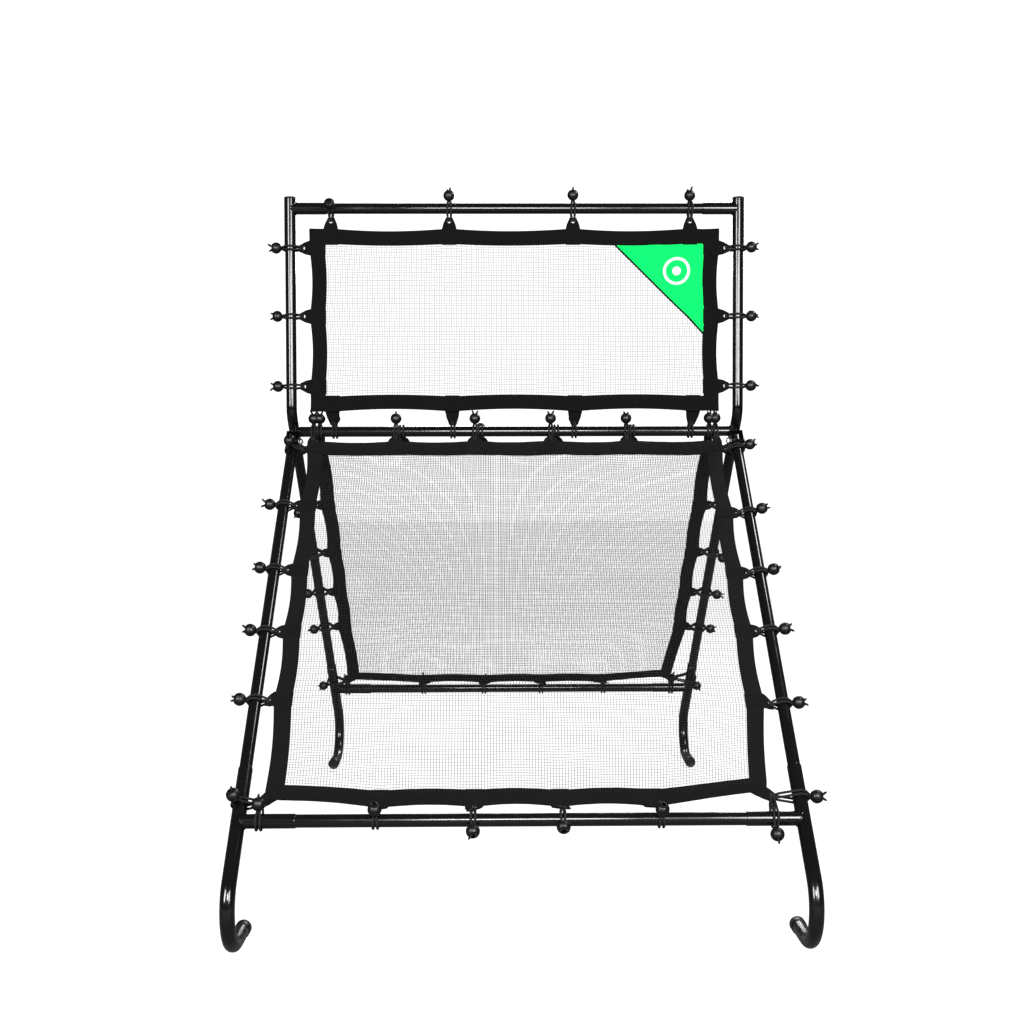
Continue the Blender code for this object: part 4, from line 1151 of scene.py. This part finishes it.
def make_upper():
    ties = {
        "top": positions(UPPER_TOP, (-UPPER_U, UPPER_U)),
        "bottom": positions(UPPER_BOTTOM, (-UPPER_U, UPPER_U)),
        "left": positions(UPPER_LEFT, (UPPER_TOP_V, UPPER_BOTTOM_V)),
        "right": positions(UPPER_RIGHT, (UPPER_TOP_V, UPPER_BOTTOM_V)),
    }
    panel = Panel(Vector((0, UPRIGHT_Y, TOP_Z)), -Z_AXIS, UPPER_U, UPPER_TOP_V, UPPER_BOTTOM_V,
                  BINDING_WIDTH, ties, UPPER_THREAD_R, False)
    binding = make_binding("upper_binding", panel, ROOT, ["upper_border"])
    tabs = []

    def lace(node, tie):
        tabs.append(tie)
        make_bungee(node + "_cord", tie, ROOT, [node])

    for k, (u, turn) in enumerate(UPPER_TOP):
        radius = radius_at(abs(u) - (HALF_WIDTH - CORNER_STUB))
        lace("upper_top_bungee_%d" % (k + 1),
             straight_tie(panel, "top", u, UPPER_TOP_V, UPPER_REACH, radius, turn))
    for k, (u, turn) in enumerate(UPPER_BOTTOM):
        axis = HINGE + X_AXIS * u
        root = panel.one(u, UPPER_BOTTOM_V)
        out = (axis - root).normalized()
        lace("upper_bottom_bungee_%d" % (k + 1),
             Tie(root, -Z_AXIS, panel.face, axis - out * UPPER_REACH, axis, X_AXIS.copy(),
                 TUBE_R, turn))
    for edge, places in (("left", UPPER_LEFT), ("right", UPPER_RIGHT)):
        for k, (v, turn) in enumerate(places):
            radius = radius_at(TOP_Z - v - CORNER_BOTTOM_Z)
            lace("upper_%s_bungee_%d" % (edge, k + 1),
                 straight_tie(panel, edge, v, HALF_WIDTH - UPPER_U, UPPER_REACH, radius, turn))
    tab_piece = make_tabs("upper_tabs", tabs, ROOT)
    make_net("upper_netting", "upper_net", panel, ROOT)
    make_flag(panel)


def make_flag(panel):
    """Green cloth triangle over the net, with a sewn long edge and a ring print."""
    right = UPPER_U - BINDING_WIDTH + 0.001
    top = UPPER_TOP_V + BINDING_WIDTH - 0.001
    mesh = Mesh()
    steps = 26
    for lift in (FLAG_LIFT, FLAG_LIFT - FLAG_CLOTH):
        rows = []
        for i in range(steps + 1):
            a = FLAG_SIDE * i / steps
            u = right - np.linspace(0, FLAG_SIDE - a, steps + 1)
            wrinkle = 0.0005 * np.sin(u * 60 + a * 25) * (1 - i / steps)
            rows.append(panel.at(u, top + a, lift + wrinkle))
        mesh.grid(rows, across=False,
                  uv=lambda i, k: (k * FLAG_SIDE / steps, i * FLAG_SIDE / steps))
    hem = ((0.0010, 0.0004), (0.0010, 0.0014), (-0.5 * FLAG_HEM, 0.0018),
           (-FLAG_HEM, 0.0012), (-FLAG_HEM, -0.0024), (0.0010, -0.0018))
    trim = []
    for t in np.arange(61) / 60:
        u = right - FLAG_SIDE * (1 - t)
        v = top + FLAG_SIDE * t
        trim.append([panel.one(u - d * 0.707, v + d * 0.707, FLAG_LIFT - FLAG_CLOTH + n)
                     for d, n in hem])
    mesh.close_ends(trim, 1)
    u, v = right - FLAG_SIDE * 0.30, top + FLAG_SIDE * 0.30
    for inner, outer in FLAG_RINGS:
        section = ((inner, 0), (inner, RING_LIFT), (outer, RING_LIFT), (outer, 0))
        rows = [[panel.one(u + r * cos(a), v + r * sin(a), FLAG_LIFT + n) for r, n in section]
                for a in turns(72)]
        mesh.grid(rows, 2, along=True)
    mesh.make("corner_flag_cloth", [GREEN, WEBBING, PRINT], ROOT, ["corner_flag"])


def make_sloped(prefix, body, down, bar_v, bottom_v, places, side_turns, bar_turns, top_turns,
                corner_u, corner_turn):
    """A sloped net with its binding, tabs and bungees.

    At the corners the balls turn by side_turns on the legs and bar_turns on the
    bar at the bottom, and by top_turns on the legs and corner_turn on the bar
    at the top.
    """
    left, right, top, bottom = places
    ties = {
        "left": positions(left, (CORNER_SIDE_V, bottom_v - CORNER_PULL_UP)),
        "right": positions(right, (CORNER_SIDE_V, bottom_v - CORNER_PULL_UP)),
        "top": positions(top, (-corner_u, corner_u)),
        "bottom": positions(bottom, (-CORNER_PULL_U, CORNER_PULL_U)),
    }
    panel = Panel(HINGE, down, LOWER_U, LOWER_TOP_V, bottom_v, TOP_BINDING_WIDTH, ties,
                  LOWER_THREAD_R, True)
    binding = make_binding(prefix + "_binding", panel, body, [prefix + "_border"])
    tabs = lower_panel(prefix, panel, bar_v, left, right, bottom, side_turns, bar_turns,
                       top_turns, body)
    top = top_ties(panel, top, corner_u, corner_turn)
    top_tabs = make_tabs(prefix + "_top_tabs", top, body)
    for k, tie in enumerate(top):
        node = "%s_top_bungee_%d" % (prefix, k + 1)
        # The front net's are nodes of their own; both stay on the middle crossbar.
        if body == SWING:
            make_bungee(node + "_cord", tie, ROOT, [node])
        else:
            make_bungee(node, tie, ROOT)
    make_net(prefix + "_netting", prefix + "_net", panel, body)


# ---------------------------------------------------------- floor and lights
def brighten(tree, strength, other_rays, camera_rays):
    """Sets one strength for what the camera sees and one for every other ray."""
    path = tree.nodes.new("ShaderNodeLightPath")
    lift = tree.nodes.new("ShaderNodeMapRange")
    lift.inputs["To Min"].default_value = other_rays
    lift.inputs["To Max"].default_value = camera_rays
    tree.links.new(path.outputs["Is Camera Ray"], lift.inputs["Value"])
    tree.links.new(lift.outputs[0], strength)


def make_floor():
    bpy.ops.mesh.primitive_plane_add(size=40, location=(0, 0, -0.0005))
    floor = bpy.context.object
    floor.name = "floor"
    material = bpy.data.materials.new("floor_white")
    material.use_nodes = True
    shader = material.node_tree.nodes["Principled BSDF"]
    shader.inputs["Base Color"].default_value = gray(0.12)
    shader.inputs["Roughness"].default_value = 0.8
    shader.inputs["Emission Color"].default_value = gray(1.0)
    brighten(material.node_tree, shader.inputs["Emission Strength"], 0.0, 1.04)
    floor.data.materials.append(material)


def make_world():
    """White behind the object; a dim room for everything but the camera."""
    world = bpy.data.worlds.new("studio")
    bpy.context.scene.world = world
    world.use_nodes = True
    tree = world.node_tree
    background = tree.nodes["Background"]
    background.inputs["Color"].default_value = gray(1.0)
    brighten(tree, background.inputs["Strength"], 0.07, 1.22)


def area_light(name, location, target, size, power):
    light = bpy.data.lights.new(name, "AREA")
    light.shape = "RECTANGLE"
    light.size = size[0]
    light.size_y = size[1]
    light.energy = power
    lamp = bpy.data.objects.new(name, light)
    bpy.context.scene.collection.objects.link(lamp)
    lamp.location = location
    lamp.rotation_mode = "QUATERNION"
    lamp.rotation_quaternion = (Vector(target) - Vector(location)).to_track_quat("-Z", "Y")


def make_lights():
    aim = (0, 0, 0.8)
    area_light("key", (0.04, -3.6, 1.62), aim, (0.85, 0.7), 60)
    area_light("left", (-2.25, -3.3, 1.70), aim, (1.0, 1.5), 100)
    area_light("right", (1.45, -3.4, 1.65), aim, (1.1, 1.4), 90)
    area_light("top", (1.95, 0.20, 3.0), (0, 0, 0.6), (1.1, 0.5), 26)
    area_light("back", (0.6, 4.2, 2.6), aim, (2.6, 1.2), 90)


def make_camera():
    camera = bpy.data.objects.new("camera", bpy.data.cameras.new("camera"))
    bpy.context.scene.collection.objects.link(camera)
    camera.data.lens = 47.461
    camera.data.sensor_width = 36.0
    camera.location = (-0.0467, -3.3635, 0.9160)
    pitch = radians(1.861)
    yaw = radians(0.669)
    roll = -0.0025
    forward = Vector((sin(yaw) * cos(pitch), cos(yaw) * cos(pitch), -sin(pitch)))
    right = Vector((cos(yaw), -sin(yaw), 0))
    up = right.cross(forward)
    rolled = right * cos(roll) + up * sin(roll)
    up = rolled.cross(forward)
    turn = Matrix((rolled, up, -forward)).transposed()
    camera.rotation_mode = "QUATERNION"
    camera.rotation_quaternion = turn.to_quaternion()
    bpy.context.scene.camera = camera


# ---------------------------------------------------------------------- build
make_bar("top_crossbar", Vector((0, UPRIGHT_Y, TOP_Z)), HALF_WIDTH - CORNER_STUB + BAR_IN_STUB,
         ROOT)
make_bar("middle_crossbar", HINGE, HALF_WIDTH - MIDDLE_BAR_SHORT, ROOT)
front_foot = Foot(FRONT_DOWN, FRONT_BAR_V)
rear_foot = Foot(REAR_DOWN, REAR_BAR_V)
make_bar("front_crossbar", front_foot.bar, HALF_WIDTH - FOOT_STUB + BAR_IN_STUB, SWING)
make_bar("rear_crossbar", rear_foot.bar, HALF_WIDTH - FOOT_STUB + BAR_IN_STUB, ROOT)
for side, sign in (("left", -1), ("right", 1)):
    make_side_tube(side, sign)
    make_upper_corner(side, sign)
    make_front_leg(side, sign)
    make_foot("front", front_foot, side, sign, SWING)
    make_foot("rear", rear_foot, side, sign, ROOT)
    make_pivot_hardware(side, sign)
    finish_bracket(side)
make_upper()
make_sloped("front", SWING, FRONT_DOWN, FRONT_BAR_V, FRONT_BOTTOM_V,
            (FRONT_LEFT, FRONT_RIGHT, FRONT_TOP, FRONT_BOTTOM),
            (73, 0), (130, 0), (85, 30), CORNER_BAR_U, 45)
make_sloped("rear", ROOT, REAR_DOWN, REAR_BAR_V, REAR_BOTTOM_V,
            (REAR_LEFT, REAR_RIGHT, REAR_TOP, REAR_BOTTOM),
            (30, 60), (-160, -160), (-60, -60), REAR_CORNER_BAR_U, -46)

make_floor()
make_world()
make_lights()
make_camera()
bpy.context.scene.view_settings.view_transform = "Standard"
